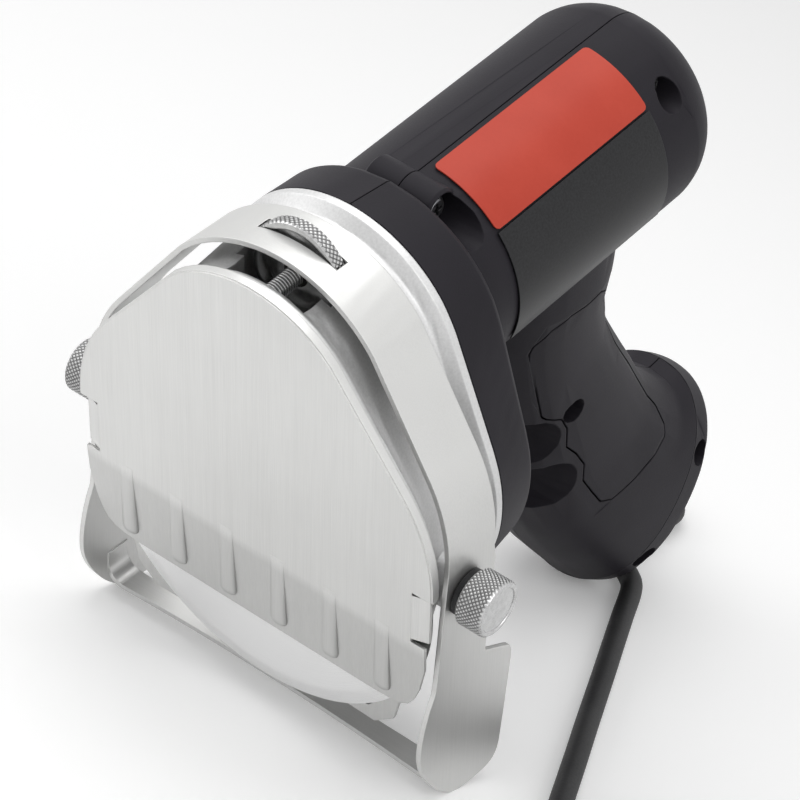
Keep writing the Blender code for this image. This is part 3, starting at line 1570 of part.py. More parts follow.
# Mains lead: it lies on the table, and its unseen length is wound into a coil

# Route of the free stretch in metres, from the strain relief's tip to the coil
cord_route = [
    (0.0000, 0.1400, 0.0056), (-0.0032, 0.1520, 0.0042), (-0.0120, 0.1608, 0.0033),
    (-0.0240, 0.1640, 0.0030), (-0.0360, 0.1608, 0.0030), (-0.0448, 0.1520, 0.0030),
    (-0.0480, 0.1400, 0.0030), (-0.0478, 0.1300, 0.0030), (-0.0440, 0.1188, 0.0030),
    (-0.0352, 0.1108, 0.0030), (-0.0240, 0.1080, 0.0030), (-0.0138, 0.1080, 0.0030),
    (-0.0038, 0.1080, 0.0030), (0.0056, 0.1062, 0.0030), (0.0130, 0.1010, 0.0030),
    (0.0178, 0.0945, 0.0030), (0.0249, 0.0788, 0.0030), (0.0320, 0.0631, 0.0030),
    (0.0393, 0.0471, 0.0030), (0.0467, 0.0307, 0.0030), (0.0541, 0.0143, 0.0030),
    (0.0616, -0.0021, 0.0030), (0.0690, -0.0185, 0.0030), (0.0764, -0.0349, 0.0030),
]
coil_x = 0.1292
coil_y = -0.0408
coil_start = math.radians(204.4)
coil_outer_radius = 0.0458
coil_turns = 6.5 - (coil_start - math.pi) / math.tau
coil_pitch = 0.0066
coil_steps = 24
coil_tail = 0.0300
plug_length = 0.0360
plug_sleeve_length = 0.0160
plug_width = 0.0255
plug_thickness = 0.0137
plug_sleeve_radius = 0.0048
pin_radius = 0.0020
pin_length = 0.0190
pin_spacing = 0.0186


def smooth_curve(points, spacing):
    """Points at even spacing along a smooth curve through hand-chosen points."""
    dense = []
    for index in range(len(points) - 1):
        before = points[max(index - 1, 0)]
        start, end = points[index], points[index + 1]
        after = points[min(index + 2, len(points) - 1)]
        for step in range(16):
            t = step / 16
            place = []
            for a, b, c, d in zip(before, start, end, after):
                place.append(b + t * (c - a) / 2 + t * t * (a - 5 * b / 2 + 2 * c - d / 2)
                             + t * t * t * (3 * (b - c) + d - a) / 2)
            dense.append(tuple(place))
    dense.append(points[-1])
    lengths = [0.0]
    for first, second in zip(dense, dense[1:]):
        lengths.append(lengths[-1] + math.dist(first, second))
    count = max(2, round(lengths[-1] / spacing))
    result = []
    index = 0
    for step in range(count + 1):
        goal = lengths[-1] * step / count
        while index < len(dense) - 2 and lengths[index + 1] < goal:
            index += 1
        share = (goal - lengths[index]) / (lengths[index + 1] - lengths[index])
        result.append(tuple(a + (b - a) * share
                            for a, b in zip(dense[index], dense[index + 1])))
    return result, lengths[-1]


def tube(name, points, resolution):
    """Cord tube along points, with filled ends."""
    curve = bpy.data.curves.new(name, "CURVE")
    curve.dimensions = "3D"
    curve.bevel_depth = cord_diameter / 2
    curve.bevel_resolution = resolution
    curve.use_fill_caps = True
    spline = curve.splines.new("POLY")
    spline.points.add(len(points) - 1)
    for point, place in zip(spline.points, points):
        point.co = (*place, 1.0)
    curve.materials.append(rubber_black)
    cord = bpy.data.objects.new(name, curve)
    bpy.context.collection.objects.link(cord)
    return cord


def relief_tip(gap):
    """Point on the strain relief's axis, a gap beyond its tip."""
    place = relief_axis.matrix_world
    return tuple(place.translation + place.to_3x3().col[1] * (relief_length + gap))


def coil_points():
    """Coil that spirals in, climbs one layer while it reverses, and spirals out again."""
    points = []
    count = round(coil_turns * coil_steps)
    base = cord_diameter / 2
    sine, cosine = math.sin(coil_start), math.cos(coil_start)
    points.append((coil_x + coil_outer_radius * cosine + cord_diameter * sine,
                   coil_y + coil_outer_radius * sine - cord_diameter * cosine, base))
    for step in range(count + 1):
        turns = coil_turns * step / count
        from_middle = turns - coil_turns / 2
        radius = coil_outer_radius - coil_pitch * (coil_turns / 2 - abs(from_middle))
        climb = min(max(from_middle * 2 + 0.5, 0.0), 1.0)
        climb = climb * climb * (3 - 2 * climb)
        angle = coil_start + math.tau * turns
        points.append((coil_x + radius * math.cos(angle), coil_y + radius * math.sin(angle),
                       base + coil_pitch * climb))
    return points


def least_gap(points, diameter):
    """Least gap of a tube to itself, between points that are over a half turn apart."""
    least = math.inf
    reach = coil_steps // 2
    for index, point in enumerate(points):
        for other in range(index + reach, len(points) - 1):
            a, b = points[other], points[other + 1]
            span = [q - p for p, q in zip(a, b)]
            square = sum(value * value for value in span)
            share = sum((value - p) * step for value, p, step in zip(point, a, span)) / square
            share = min(max(share, 0.0), 1.0)
            near = tuple(p + step * share for p, step in zip(a, span))
            least = min(least, math.dist(point, near) - diameter)
    return least


def make_cord():
    """Free stretch, coil and tail of the lead, with its flat two-pin plug."""
    start = relief_tip(seat_gap)
    after = relief_tip(seat_gap + cord_diameter)
    coil = coil_points()
    sine, cosine = math.sin(coil_start), math.cos(coil_start)
    entry = (coil[0][0] + seat_gap * sine, coil[0][1] - seat_gap * cosine, coil[0][2])
    before = (entry[0] + cord_diameter * sine, entry[1] - cord_diameter * cosine, entry[2])
    middle, length = smooth_curve([after] + cord_route + [before], cord_diameter * 2)
    tube("cord", [start] + middle + [entry], 2)
    top = coil[-1]
    tail = []
    for step in range(1, 7):
        share = step / 6
        ease = share * share * (3 - 2 * share)
        tail.append((top[0], top[1] + coil_tail * share,
                     top[2] + (plug_thickness / 2 - top[2]) * ease))
    end = (tail[-1][0], tail[-1][1] + cord_diameter, tail[-1][2])
    tube("cord_coil", coil + tail + [end], 1)
    coil_length = sum(math.dist(a, b) for a, b in zip(coil + tail, (coil + tail)[1:]))
    total = length + 3 * cord_diameter + coil_length
    print("cord length:", round(total, 4), "of it free:", round(length, 4))
    print("least gap of the coil to itself:", round(least_gap(coil, cord_diameter), 5))
    make_plug((end[0], end[1] + seat_gap, end[2]))


def make_plug(place):
    """Flat two-pin plug lying on the table: tapered body with a sleeve, and two round pins."""
    plug_axis = empty("plug_axis", place)
    sections = [(0.0, 0.0, 0.0), (0.25, 0.0, 0.0), (0.30, 0.15, 0.10), (0.45, 0.60, 0.50),
                (0.62, 0.95, 0.92), (0.70, 1.0, 1.0), (0.97, 1.0, 1.0), (1.0, 0.95, 0.88)]
    loops = []
    for along, wide_share, thick_share in sections:
        half_x = plug_sleeve_radius + (plug_width / 2 - plug_sleeve_radius) * wide_share
        half_z = plug_sleeve_radius + (plug_thickness / 2 - plug_sleeve_radius) * thick_share
        ring = []
        for step in range(small_steps * 2):
            angle = math.tau * (step + 0.5) / (small_steps * 2)
            squareness = 1.0 - 0.45 * wide_share
            across = math.copysign(abs(math.cos(angle)) ** squareness, math.cos(angle))
            up = math.copysign(abs(math.sin(angle)) ** squareness, math.sin(angle))
            ring.append((half_x * across, (plug_length + plug_sleeve_length) * along,
                         half_z * up))
        loops.append(ring)
    loft("plug_body", loops, plastic_black, parent=plug_axis)
    start = plug_length + plug_sleeve_length + seat_gap
    for name, side in (("right", 1.0), ("left", -1.0)):
        turned("plug_pin_" + name, [(start, pin_radius),
                                    (start + pin_length - run_gap, pin_radius),
                                    (start + pin_length, pin_radius - run_gap)],
               steel_bright, (side * pin_spacing / 2, 0.0, 0.0), parent=plug_axis,
               steps=small_steps)


make_cord()
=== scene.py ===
# %% [markdown]
# # Hand-held electric meat slicer
# A round blade spins behind a steel cover, driven by a belt inside a cast head. A bent steel
# guard sets how thick the slice is, a dark plastic barrel holds the motor, and a swept-back
# handle ends in the mains lead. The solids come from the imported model: this file gives them
# their finishes, and puts finer shapes where a turned, knurled or flexible surface needs them.

# %% Load the model
import json
import math

import bpy
import numpy as np
from mathutils import Matrix, Vector


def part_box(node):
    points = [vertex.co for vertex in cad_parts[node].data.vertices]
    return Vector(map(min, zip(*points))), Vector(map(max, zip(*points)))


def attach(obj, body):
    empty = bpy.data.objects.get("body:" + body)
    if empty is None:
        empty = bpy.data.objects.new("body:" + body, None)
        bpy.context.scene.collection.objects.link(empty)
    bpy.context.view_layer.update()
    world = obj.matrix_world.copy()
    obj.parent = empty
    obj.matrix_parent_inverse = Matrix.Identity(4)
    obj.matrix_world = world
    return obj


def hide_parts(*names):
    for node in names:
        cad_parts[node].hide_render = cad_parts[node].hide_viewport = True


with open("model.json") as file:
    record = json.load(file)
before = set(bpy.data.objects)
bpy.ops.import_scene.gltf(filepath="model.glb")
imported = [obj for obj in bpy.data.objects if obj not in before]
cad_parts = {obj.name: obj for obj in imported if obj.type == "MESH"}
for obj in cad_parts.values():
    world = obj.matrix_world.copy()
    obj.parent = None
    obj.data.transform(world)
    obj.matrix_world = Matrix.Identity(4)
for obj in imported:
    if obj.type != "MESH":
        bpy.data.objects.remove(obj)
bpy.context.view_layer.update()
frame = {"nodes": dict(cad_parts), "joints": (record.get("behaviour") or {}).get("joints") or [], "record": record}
joints = {joint["name"]: joint for joint in frame["joints"]}

# %% [markdown]
# ## The head's own frame
# The slicer leans back on the table, so nothing on it is level. Its shapes are easier to
# describe in the head's frame: X across, Y along the blade's shaft and Z up the head. The
# blade's joint gives both its place and its direction, so three unit vectors turn a point of
# that frame into the room.

# %% The head's frame
shaft_way = np.array(joints["blade_spin"]["axis"])
across_way = np.array([1.0, 0.0, 0.0])
head_frame = np.stack([across_way, shaft_way, np.cross(across_way, shaft_way)])
head_place = np.array(joints["blade_spin"]["pos_m"])


def from_head(points):
    """Room places of head places: each coordinate times its unit vector, plus the centre."""
    return np.asarray(points, float) @ head_frame + head_place


print("head leans back by degrees:", round(math.degrees(math.asin(shaft_way[2])), 2))

# %% [markdown]
# ## Camera
# The photo was taken with a long lens, from the right and above. The camera was fitted to the
# head's outlines in the photo, at a size that assumes a blade 100 mm across, so it is written
# here in the head's frame: where it is, and its right, up and backward directions. It fits the
# casting's outline closely, and the cover's lower strip, the barrel and the handle less well.

# %% Camera
camera_data = bpy.data.cameras.new("camera")
camera_data.lens = 157.5
camera_data.sensor_width = 36.0
camera_data.clip_end = 20.0
camera = bpy.data.objects.new("camera", camera_data)
bpy.context.collection.objects.link(camera)
camera_ways = np.array([[0.77735, 0.62874, 0.02055], [-0.44595, 0.52772, 0.72294],
                        [0.44369, -0.57114, 0.69061]]) @ head_frame
camera_place = from_head((0.36461, -0.41868, 0.56925))
camera_matrix = Matrix.Identity(4)
for column, way in enumerate(camera_ways):
    way = Vector(way).normalized()
    for row in range(3):
        camera_matrix[row][column] = way[row]
for row in range(3):
    camera_matrix[row][3] = camera_place[row]
camera.matrix_world = camera_matrix
bpy.context.scene.camera = camera
print("camera at", [round(value, 3) for value in camera_place])

# %% [markdown]
# ## Surfaces from numbers
# Every new shape here is a grid of points: one direction runs round a section, the other along
# the piece. Working the whole grid out as one numpy array keeps the formula visible, and the
# faces are always the same four neighbours. Open ends are closed by a flat cap.

# %% Grid to mesh


def surface(name, points, body, closed_along=False, caps=True):
    """Skin a grid of points shaped (along, round, 3): each cell becomes a face of its four
    neighbours, the round direction closes on itself, and the ends get a cap each."""
    along, around, _ = points.shape
    row = np.arange(along if closed_along else along - 1)[:, None]
    column = np.arange(around)[None, :]
    following_row = (row + 1) % along
    following_column = (column + 1) % around
    faces = np.stack([row * around + column, row * around + following_column,
                      following_row * around + following_column,
                      following_row * around + column], axis=-1).reshape(-1, 4)
    polygons = faces.tolist()
    if caps and not closed_along:
        polygons.append(list(range(around))[::-1])
        polygons.append(list(range((along - 1) * around, along * around)))
    mesh = bpy.data.meshes.new(name)
    flat = points.reshape(-1, 3)
    mesh.from_pydata(flat.tolist(), [], polygons)
    piece = bpy.data.objects.new(name, mesh)
    bpy.context.collection.objects.link(piece)
    mesh.shade_smooth()
    mesh.set_sharp_from_angle(angle=math.radians(40.0))
    if inside_out(mesh):
        mesh.flip_normals()
    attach(piece, body)
    return piece


def inside_out(mesh):
    """A closed mesh is inside out where its signed volume, the sum over its triangles of one
    sixth of the corners' triple product, is negative."""
    mesh.calc_loop_triangles()
    corners = np.zeros(len(mesh.vertices) * 3)
    mesh.vertices.foreach_get("co", corners)
    triangles = np.zeros(len(mesh.loop_triangles) * 3, int)
    mesh.loop_triangles.foreach_get("vertices", triangles)
    a, b, c = corners.reshape(-1, 3)[triangles.reshape(-1, 3)].transpose(1, 0, 2)
    return float(np.einsum("ij,ij->i", a, np.cross(b, c)).sum()) < 0.0


def turned(name, profile, place, way, body, steps=96, relief=None, closed_along=False):
    """Turn a profile of (distance, radius) rows about an axis: place plus distance along the
    axis plus radius times the unit circle round it. relief(distance, angle) is cut away, and
    its share of the deepest cut is kept on the mesh as the attribute cut."""
    profile = np.asarray(profile, float)
    angle = np.linspace(0.0, math.tau, steps, endpoint=False)[None, :]
    distance = profile[:, :1]
    radius = np.broadcast_to(profile[:, 1:], (len(profile), steps))
    depth = np.zeros((len(profile), steps)) if relief is None else relief(distance, angle)
    radius = radius - depth
    way = np.asarray(way, float)
    side = np.cross(way, [1.0, 0.0, 0.0] if abs(way[0]) < 0.9 else [0.0, 0.0, 1.0])
    side /= np.linalg.norm(side)
    other = np.cross(way, side)
    points = (np.asarray(place) + distance[..., None] * way
              + radius[..., None] * (np.cos(angle)[..., None] * side
                                     + np.sin(angle)[..., None] * other))
    piece = surface(name, points, body, closed_along)
    cut = piece.data.attributes.new("cut", "FLOAT", "POINT")
    cut.data.foreach_set("value", (depth / max(depth.max(), 1e-9)).ravel())
    return piece


# %% [markdown]
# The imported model's triangles share no corners, so a rounded wall would look faceted. A copy
# whose equal corners are merged can be shaded smoothly up to its sharp edges, and its outline
# can be rounded too: a chord of a circle is tilted against the normals at both its ends by the
# same angle, which says how high the arc stands over it.

# %% Rounding
most_rise = 0.08


def rounded(mesh, longest):
    """Finer corners and triangles. Each triangle becomes four, and an edge's middle rises along
    the mean of its two end normals by a quarter of its length times the lesser tilt of the two,
    but by no more than most_rise of its length. Where only one end is tilted, as at a fold's
    flat side, or where the edge is longer than the longest chord, the middle stays on the edge."""
    corners = np.empty(len(mesh.vertices) * 3)
    mesh.vertices.foreach_get("co", corners)
    corners = corners.reshape(-1, 3)
    faces = np.empty(len(mesh.loops), np.int32)
    mesh.loops.foreach_get("vertex_index", faces)
    normals = np.empty(len(mesh.loops) * 3)
    mesh.corner_normals.foreach_get("vector", normals)
    faces, normals = faces.reshape(-1, 3), normals.reshape(-1, 3, 3)
    ends = np.stack([faces, np.roll(faces, -1, axis=1)], axis=-1).reshape(-1, 2)
    first, second = normals.reshape(-1, 3), np.roll(normals, -1, axis=1).reshape(-1, 3)
    chord = corners[ends[:, 1]] - corners[ends[:, 0]]
    tilt_first = -np.einsum("ij,ij->i", chord, first)
    tilt_second = np.einsum("ij,ij->i", chord, second)
    lesser = np.minimum(np.abs(tilt_first), np.abs(tilt_second)) * np.sign(tilt_first)
    lesser = np.where(tilt_first * tilt_second > 0.0, lesser, 0.0)
    rise = lesser[:, None] * (first + second) / 8
    length = np.linalg.norm(chord, axis=1)
    size = np.linalg.norm(rise, axis=1)
    rise *= (np.minimum(1.0, most_rise * length / np.maximum(size, 1e-12))
             * (length < longest))[:, None]
    size *= length < longest
    edges, edge_of = np.unique(np.sort(ends, axis=1), axis=0, return_inverse=True)
    edge_of = edge_of.ravel()
    order = np.lexsort((size, edge_of))
    largest = order[np.searchsorted(edge_of[order], np.arange(len(edges)), side="right") - 1]
    middles = corners[edges].mean(axis=1) + rise[largest]
    a, b, c = faces.T
    ab, bc, ca = (edge_of + len(corners)).reshape(-1, 3).T
    finer = np.concatenate([np.stack(three, axis=1) for three in
                            ((a, ab, ca), (ab, b, bc), (ca, bc, c), (ab, bc, ca))])
    return np.concatenate([corners, middles]), finer


# %% Smooth copies of solids


def merged(node, sharp=30.0, longest=1.0, levels=2):
    """Copy of a solid: corners that agree to a hundredth of a millimetre become one vertex,
    faces keep their order, edges bent more than an angle stay sharp, and curves are rounded."""
    source = frame["nodes"][node].data
    corners = np.empty(len(source.vertices) * 3)
    source.vertices.foreach_get("co", corners)
    source.calc_loop_triangles()
    triangles = np.empty(len(source.loop_triangles) * 3, np.int32)
    source.loop_triangles.foreach_get("vertices", triangles)
    corners = corners.reshape(-1, 3)
    _, first, group = np.unique(np.round(corners * 1e5).astype(np.int64), axis=0,
                                return_index=True, return_inverse=True)
    faces = group.ravel()[triangles].reshape(-1, 3)
    whole = ((faces[:, 0] != faces[:, 1]) & (faces[:, 1] != faces[:, 2])
             & (faces[:, 2] != faces[:, 0]))
    corners, faces = corners[first], faces[whole]
    for level in range(levels + 1):
        mesh = bpy.data.meshes.new(node + "_fine")
        mesh.from_pydata(corners.tolist(), [], faces.tolist())
        mesh.shade_smooth()
        mesh.set_sharp_from_angle(angle=math.radians(sharp))
        if level < levels:
            corners, faces = rounded(mesh, longest)
            bpy.data.meshes.remove(mesh)
    piece = bpy.data.objects.new(node + "_fine", mesh)
    bpy.context.collection.objects.link(piece)
    weights = piece.modifiers.new("weights", "WEIGHTED_NORMAL")
    weights.keep_sharp = True
    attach(piece, body_of[node])
    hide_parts(node)
    return piece


body_of = {node: body for body, names in frame["record"]["behaviour"]["bodies"].items()
           for node in names}
smooth_nodes = {
    "housing_left": 30, "housing_right": 30, "grip_panel_left": 30, "grip_panel_right": 30,
    "handle_end_cap": 30, "rating_plate": 30, "head_casting": 38, "guard_frame": 35,
    "front_cover": 28, "blade": 20, "blade_back_plate": 30, "blade_clamp_screw": 30,
    "pivot_spacer_left": 30, "pivot_spacer_right": 30, "blade_arbor": 30, "motor_shaft": 30,
    "blade_pulley": 30, "motor_pulley": 30, "drive_belt": 35, "stator_core": 35,
    "field_coil_front": 50, "field_coil_rear": 50, "cooling_fan": 30, "commutator": 35,
    "blade_bearing_front": 30, "blade_bearing_rear": 30, "motor_bearing_front": 30,
    "motor_bearing_rear": 30, "housing_screw_barrel": 40, "housing_screw_collar": 40,
    "housing_screw_grip": 40, "cap_screw_1": 40, "cap_screw_2": 40}
longest_chord = {"guard_frame": 0.014}
fine = {node: merged(node, sharp, longest_chord.get(node, 1.0), 0 if node == "front_cover" else 2)
        for node, sharp in smooth_nodes.items()}
print("smooth copies:", len(fine), "with",
      sum(len(piece.data.vertices) for piece in fine.values()), "vertices")

# %% [markdown]
# ## Mains lead
# The cord leaves the handle through a tapered rubber sleeve, makes a loose turn on the table
# behind the handle, passes under the sleeve and runs forward out of the picture, where the
# unseen length is wound up. A smooth curve through a few listed points makes the free
# part, and the coil is a spiral whose radius shrinks and grows again while it climbs a layer.

# %% Route of the lead
cord_diameter = 0.0060
relief_place = np.array([0.0, 0.098546, 0.015841])
relief_way = np.array([0.0, 0.970253, -0.242094])
relief_length = 0.0340
join_gap = 0.0003
cord_exit = relief_place + relief_way * (relief_length + join_gap)
route = np.array([
    (0.0000, 0.1400, 0.0056), (-0.0032, 0.1520, 0.0042), (-0.0120, 0.1608, 0.0033),
    (-0.0240, 0.1640, 0.0030), (-0.0360, 0.1608, 0.0030), (-0.0448, 0.1520, 0.0030),
    (-0.0480, 0.1400, 0.0030), (-0.0478, 0.1300, 0.0030), (-0.0440, 0.1188, 0.0030),
    (-0.0352, 0.1108, 0.0030), (-0.0240, 0.1080, 0.0030), (-0.0138, 0.1080, 0.0030),
    (-0.0038, 0.1080, 0.0030), (0.0056, 0.1062, 0.0030), (0.0130, 0.1010, 0.0030),
    (0.0178, 0.0945, 0.0030), (0.0249, 0.0788, 0.0030), (0.0320, 0.0631, 0.0030),
    (0.0393, 0.0471, 0.0030), (0.0467, 0.0307, 0.0030), (0.0541, 0.0143, 0.0030),
    (0.0616, -0.0021, 0.0030), (0.0690, -0.0185, 0.0030), (0.0764, -0.0349, 0.0030)])
coil_x, coil_y, coil_outer, coil_pitch = 0.1292, -0.0408, 0.0458, 0.0066
coil_start = math.radians(204.4)
coil_turns = 6.5 - (coil_start - math.pi) / math.tau
coil_tail = 0.0300
plug_height = 0.0137 / 2


def smooth_route(points, steps=8):
    """Catmull-Rom curve: between two points, a cubic whose slope at each end is half the step
    between that end's neighbours."""
    padded = np.concatenate([points[:1], points, points[-1:]])
    before, start, end, after = (padded[i:len(padded) - 3 + i][:, None, :] for i in range(4))
    t = np.linspace(0.0, 1.0, steps, endpoint=False)[None, :, None]
    curve = (start + t * (end - before) / 2
             + t ** 2 * (before - 2.5 * start + 2 * end - after / 2)
             + t ** 3 * (3 * (start - end) + after - before) / 2)
    return np.concatenate([curve.reshape(-1, 3), points[-1:]])


def coil_route(steps=40):
    """Spiral: the radius is the outer one less a pitch per turn from either end, and the height
    climbs one pitch along a smooth step in the half turn round the middle."""
    turns = np.linspace(0.0, coil_turns, round(coil_turns * steps) + 1)
    from_middle = turns - coil_turns / 2
    radius = coil_outer - coil_pitch * (coil_turns / 2 - np.abs(from_middle))
    climb = np.clip(from_middle * 2 + 0.5, 0.0, 1.0)
    climb = climb ** 2 * (3 - 2 * climb)
    angle = coil_start + math.tau * turns
    return np.stack([coil_x + radius * np.cos(angle), coil_y + radius * np.sin(angle),
                     cord_diameter / 2 + coil_pitch * climb], axis=-1)


coil = coil_route()
share = np.linspace(0.0, 1.0, 13)[1:, None]
tail = coil[-1] + np.concatenate(
    [0 * share, coil_tail * share,
     (plug_height - coil[-1, 2]) * share ** 2 * (3 - 2 * share)], axis=1)
back_along = np.array([math.sin(coil_start), -math.cos(coil_start), 0.0])
run_in = coil[0] + back_along * np.array([[2 * cord_diameter + join_gap], [cord_diameter]])
start = np.array([cord_exit, relief_place + relief_way * (relief_length + cord_diameter)])
free = smooth_route(np.concatenate([start[1:], route, run_in[:1]]))
line = np.concatenate([start[:1], free, run_in[1:], coil, tail,
                       tail[-1:] + [[0.0, cord_diameter, 0.0]]])
steps_long = np.linalg.norm(np.diff(line, axis=0), axis=1)
line = line[np.concatenate([[True], steps_long > 1e-6])]
cord_length = float(np.linalg.norm(np.diff(line, axis=0), axis=1).sum())
print("cord length:", round(cord_length, 4), "points:", len(line))

# %% [markdown]
# The cord is a tube round that line. At each point the side direction is taken across the line
# and the table's upright, and the lead never runs upright, so the tube doesn't twist.

# %% Cord


def tube(name, line, radius, body, around=20):
    """Tube: at each point, a circle in the plane across the line's direction."""
    way = np.gradient(line, axis=0)
    way /= np.linalg.norm(way, axis=1)[:, None]
    side = np.cross(way, [0.0, 0.0, 1.0])
    side /= np.linalg.norm(side, axis=1)[:, None]
    upright = np.cross(side, way)
    angle = np.linspace(0.0, math.tau, around, endpoint=False)[None, :, None]
    points = line[:, None, :] + radius * (np.cos(angle) * side[:, None, :]
                                          + np.sin(angle) * upright[:, None, :])
    return surface(name, points, body)


mains_cord = tube("mains_cord", line, cord_diameter / 2, "slicer")
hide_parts("cord", "cord_coil")
print("cord faces:", len(mains_cord.data.polygons))

# %% [markdown]
# The sleeve tapers from the handle to the cord, and its grooves let it bend in one even curve.
# A cosine along its length draws the grooves, steepened and held so that each has a flat floor.

# %% Strain relief
sleeve_start, sleeve_thick, sleeve_thin = 0.0030, 0.0066, 0.0045
sleeve_grooves, sleeve_groove_depth = 5.0, 0.0008
sleeve_distance = np.linspace(sleeve_start, relief_length, 90)
sleeve_share = (sleeve_distance - sleeve_start) / (relief_length - sleeve_start)
sleeve_wave = 0.5 + 0.5 * np.clip(
    -np.cos(sleeve_share * math.tau * sleeve_grooves) * 1.6, -1.0, 1.0)
sleeve_radius = (sleeve_thick + (sleeve_thin - sleeve_thick) * sleeve_share
                 - sleeve_groove_depth * sleeve_wave)
sleeve_profile = np.concatenate([
    [(-0.0070, 0.0050), (0.0003, 0.0050), (0.0003, 0.0078), (0.0020, 0.0078), (0.0027, 0.0074)],
    np.stack([sleeve_distance, sleeve_radius], axis=1)])
relief_sleeve = turned("relief_sleeve", sleeve_profile, relief_place, relief_way, "slicer", 48)
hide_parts("strain_relief")
print("sleeve from", sleeve_profile[0, 0], "to", sleeve_profile[-1, 0])

# %% [markdown]
# The plug is a flat moulded one for a double-insulated tool: a narrow neck swells into a body
# with rounded corners, and two round pins stand in sleeves. Each section is a superellipse, a
# circle whose coordinates are raised to a power below one to square it.

# %% Plug
plug_low, plug_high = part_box("plug_body")
plug_middle = np.array([(plug_low.x + plug_high.x) / 2, plug_low.y,
                        (plug_low.z + plug_high.z) / 2])
plug_long = plug_high.y - plug_low.y
plug_half = np.array([(plug_high.x - plug_low.x) / 2, (plug_high.z - plug_low.z) / 2])
plug_keys = np.array([
    (0.00, 0.00, 0.00), (0.25, 0.00, 0.00), (0.30, 0.12, 0.08), (0.40, 0.45, 0.36),
    (0.50, 0.75, 0.66), (0.62, 0.95, 0.91), (0.70, 1.00, 1.00), (0.96, 1.00, 1.00),
    (0.985, 0.97, 0.95), (1.00, 0.90, 0.84)])
plug_share = np.linspace(0.0, 1.0, 120)
neck, neck_ring_depth, neck_ring_width, neck_share = 0.0048, 0.0004, 0.0016, 0.24
neck_wave_span = 0.052
neck_wave = np.cos(plug_share * neck_wave_span / neck_ring_width * math.pi)
neck_ring = neck_ring_depth * (neck_wave > 0.0) * (plug_share < neck_share)
wide = np.interp(plug_share, plug_keys[:, 0], plug_keys[:, 1])
thick = np.interp(plug_share, plug_keys[:, 0], plug_keys[:, 2])
half_wide = (neck + (plug_half[0] - neck) * wide - neck_ring)[:, None]
half_thick = (neck + (plug_half[1] - neck) * thick - neck_ring)[:, None]
plug_angle = np.linspace(0.0, math.tau, 64, endpoint=False)[None, :]
squareness = 1.0 - 0.45 * wide[:, None]
plug_round = [np.sign(wave) * np.abs(wave) ** squareness
              for wave in (np.cos(plug_angle), np.sin(plug_angle))]
plug_points = np.stack([plug_middle[0] + half_wide * plug_round[0],
                        np.broadcast_to(plug_middle[1] + plug_long * plug_share[:, None],
                                        (120, 64)),
                        plug_middle[2] + half_thick * plug_round[1]], axis=-1)
plug_form = surface("plug_moulding", plug_points, "slicer")
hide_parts("plug_body")
plug_pieces = [plug_form]
for side in ("left", "right"):
    low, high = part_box("plug_pin_" + side)
    long = high.y - low.y
    radius = (high.x - low.x) / 2
    pin_profile = [(0.0, radius), (long * 0.5, radius), (long * 0.505, radius * 0.94),
                   (long * 0.90, radius * 0.94), (long * 0.96, radius * 0.80),
                   (long * 0.99, radius * 0.50), (long, radius * 0.20)]
    pin = turned("plug_contact_" + side, pin_profile,
                 ((low.x + high.x) / 2, low.y, (low.z + high.z) / 2), (0.0, 1.0, 0.0),
                 "slicer", 32)
    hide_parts("plug_pin_" + side)
    plug_pieces.append(pin)
print("plug pieces:", [piece.name for piece in plug_pieces])

# %% [markdown]
# ## Knurled pieces
# Thumb screws and the slice wheel are gripped by hand, so their rims are rolled with a diamond
# knurl. Two sets of slanted grooves cross: where both waves are high a pyramid stands, so the
# lesser of the two waves is the height.

# %% Knurl


def knurl(count, pitch, depth, low, high):
    """Depth to cut away between low and high. Two triangle waves have as phases the share of a
    turn times the count, plus and minus the distance over the pitch. One and a half times the
    lesser wave, at most one, is the height, and one less that height is the share cut."""

    def cut(distance, angle):
        """Depth at a distance along the axis and an angle round it."""
        first = angle / math.tau * count + distance / pitch
        second = angle / math.tau * count - distance / pitch
        waves = [1.0 - np.abs((phase % 1.0) * 2.0 - 1.0) for phase in (first, second)]
        height = np.minimum(1.0, np.minimum(*waves) * 1.5)
        inside = (distance >= low) & (distance <= high)
        return depth * (1.0 - height) * inside

    return cut


# %% Thumb screws
pivot = np.array(joints["guard_tilt"]["pos_m"])
for side, sign in (("right", 1.0), ("left", -1.0)):
    inner, outer, radius, bevel = 0.0545, 0.06172, 0.0071, 0.0006
    knob_profile = [(0.0440, 0.0025), (inner - 0.00002, 0.0025), (inner, radius - bevel)]
    low, high = inner + bevel, outer - bevel
    knob_profile += [(distance, radius) for distance in np.linspace(low, high, 40)]
    knob_profile += [(outer - bevel * 0.1, radius - bevel * 0.9), (outer, radius - bevel),
                     (outer, radius * 0.80), (outer - 0.0002, radius * 0.78),
                     (outer - 0.0002, radius * 0.20)]
    knob = turned("thumb_knob_" + side, knob_profile, pivot, (sign, 0.0, 0.0),
                  "thumb_" + side, 320, knurl(40, 0.0012, 0.00024, low, high))
    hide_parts("thumb_screw_" + side)
print("thumb screws turn about", [round(value, 4) for value in pivot])

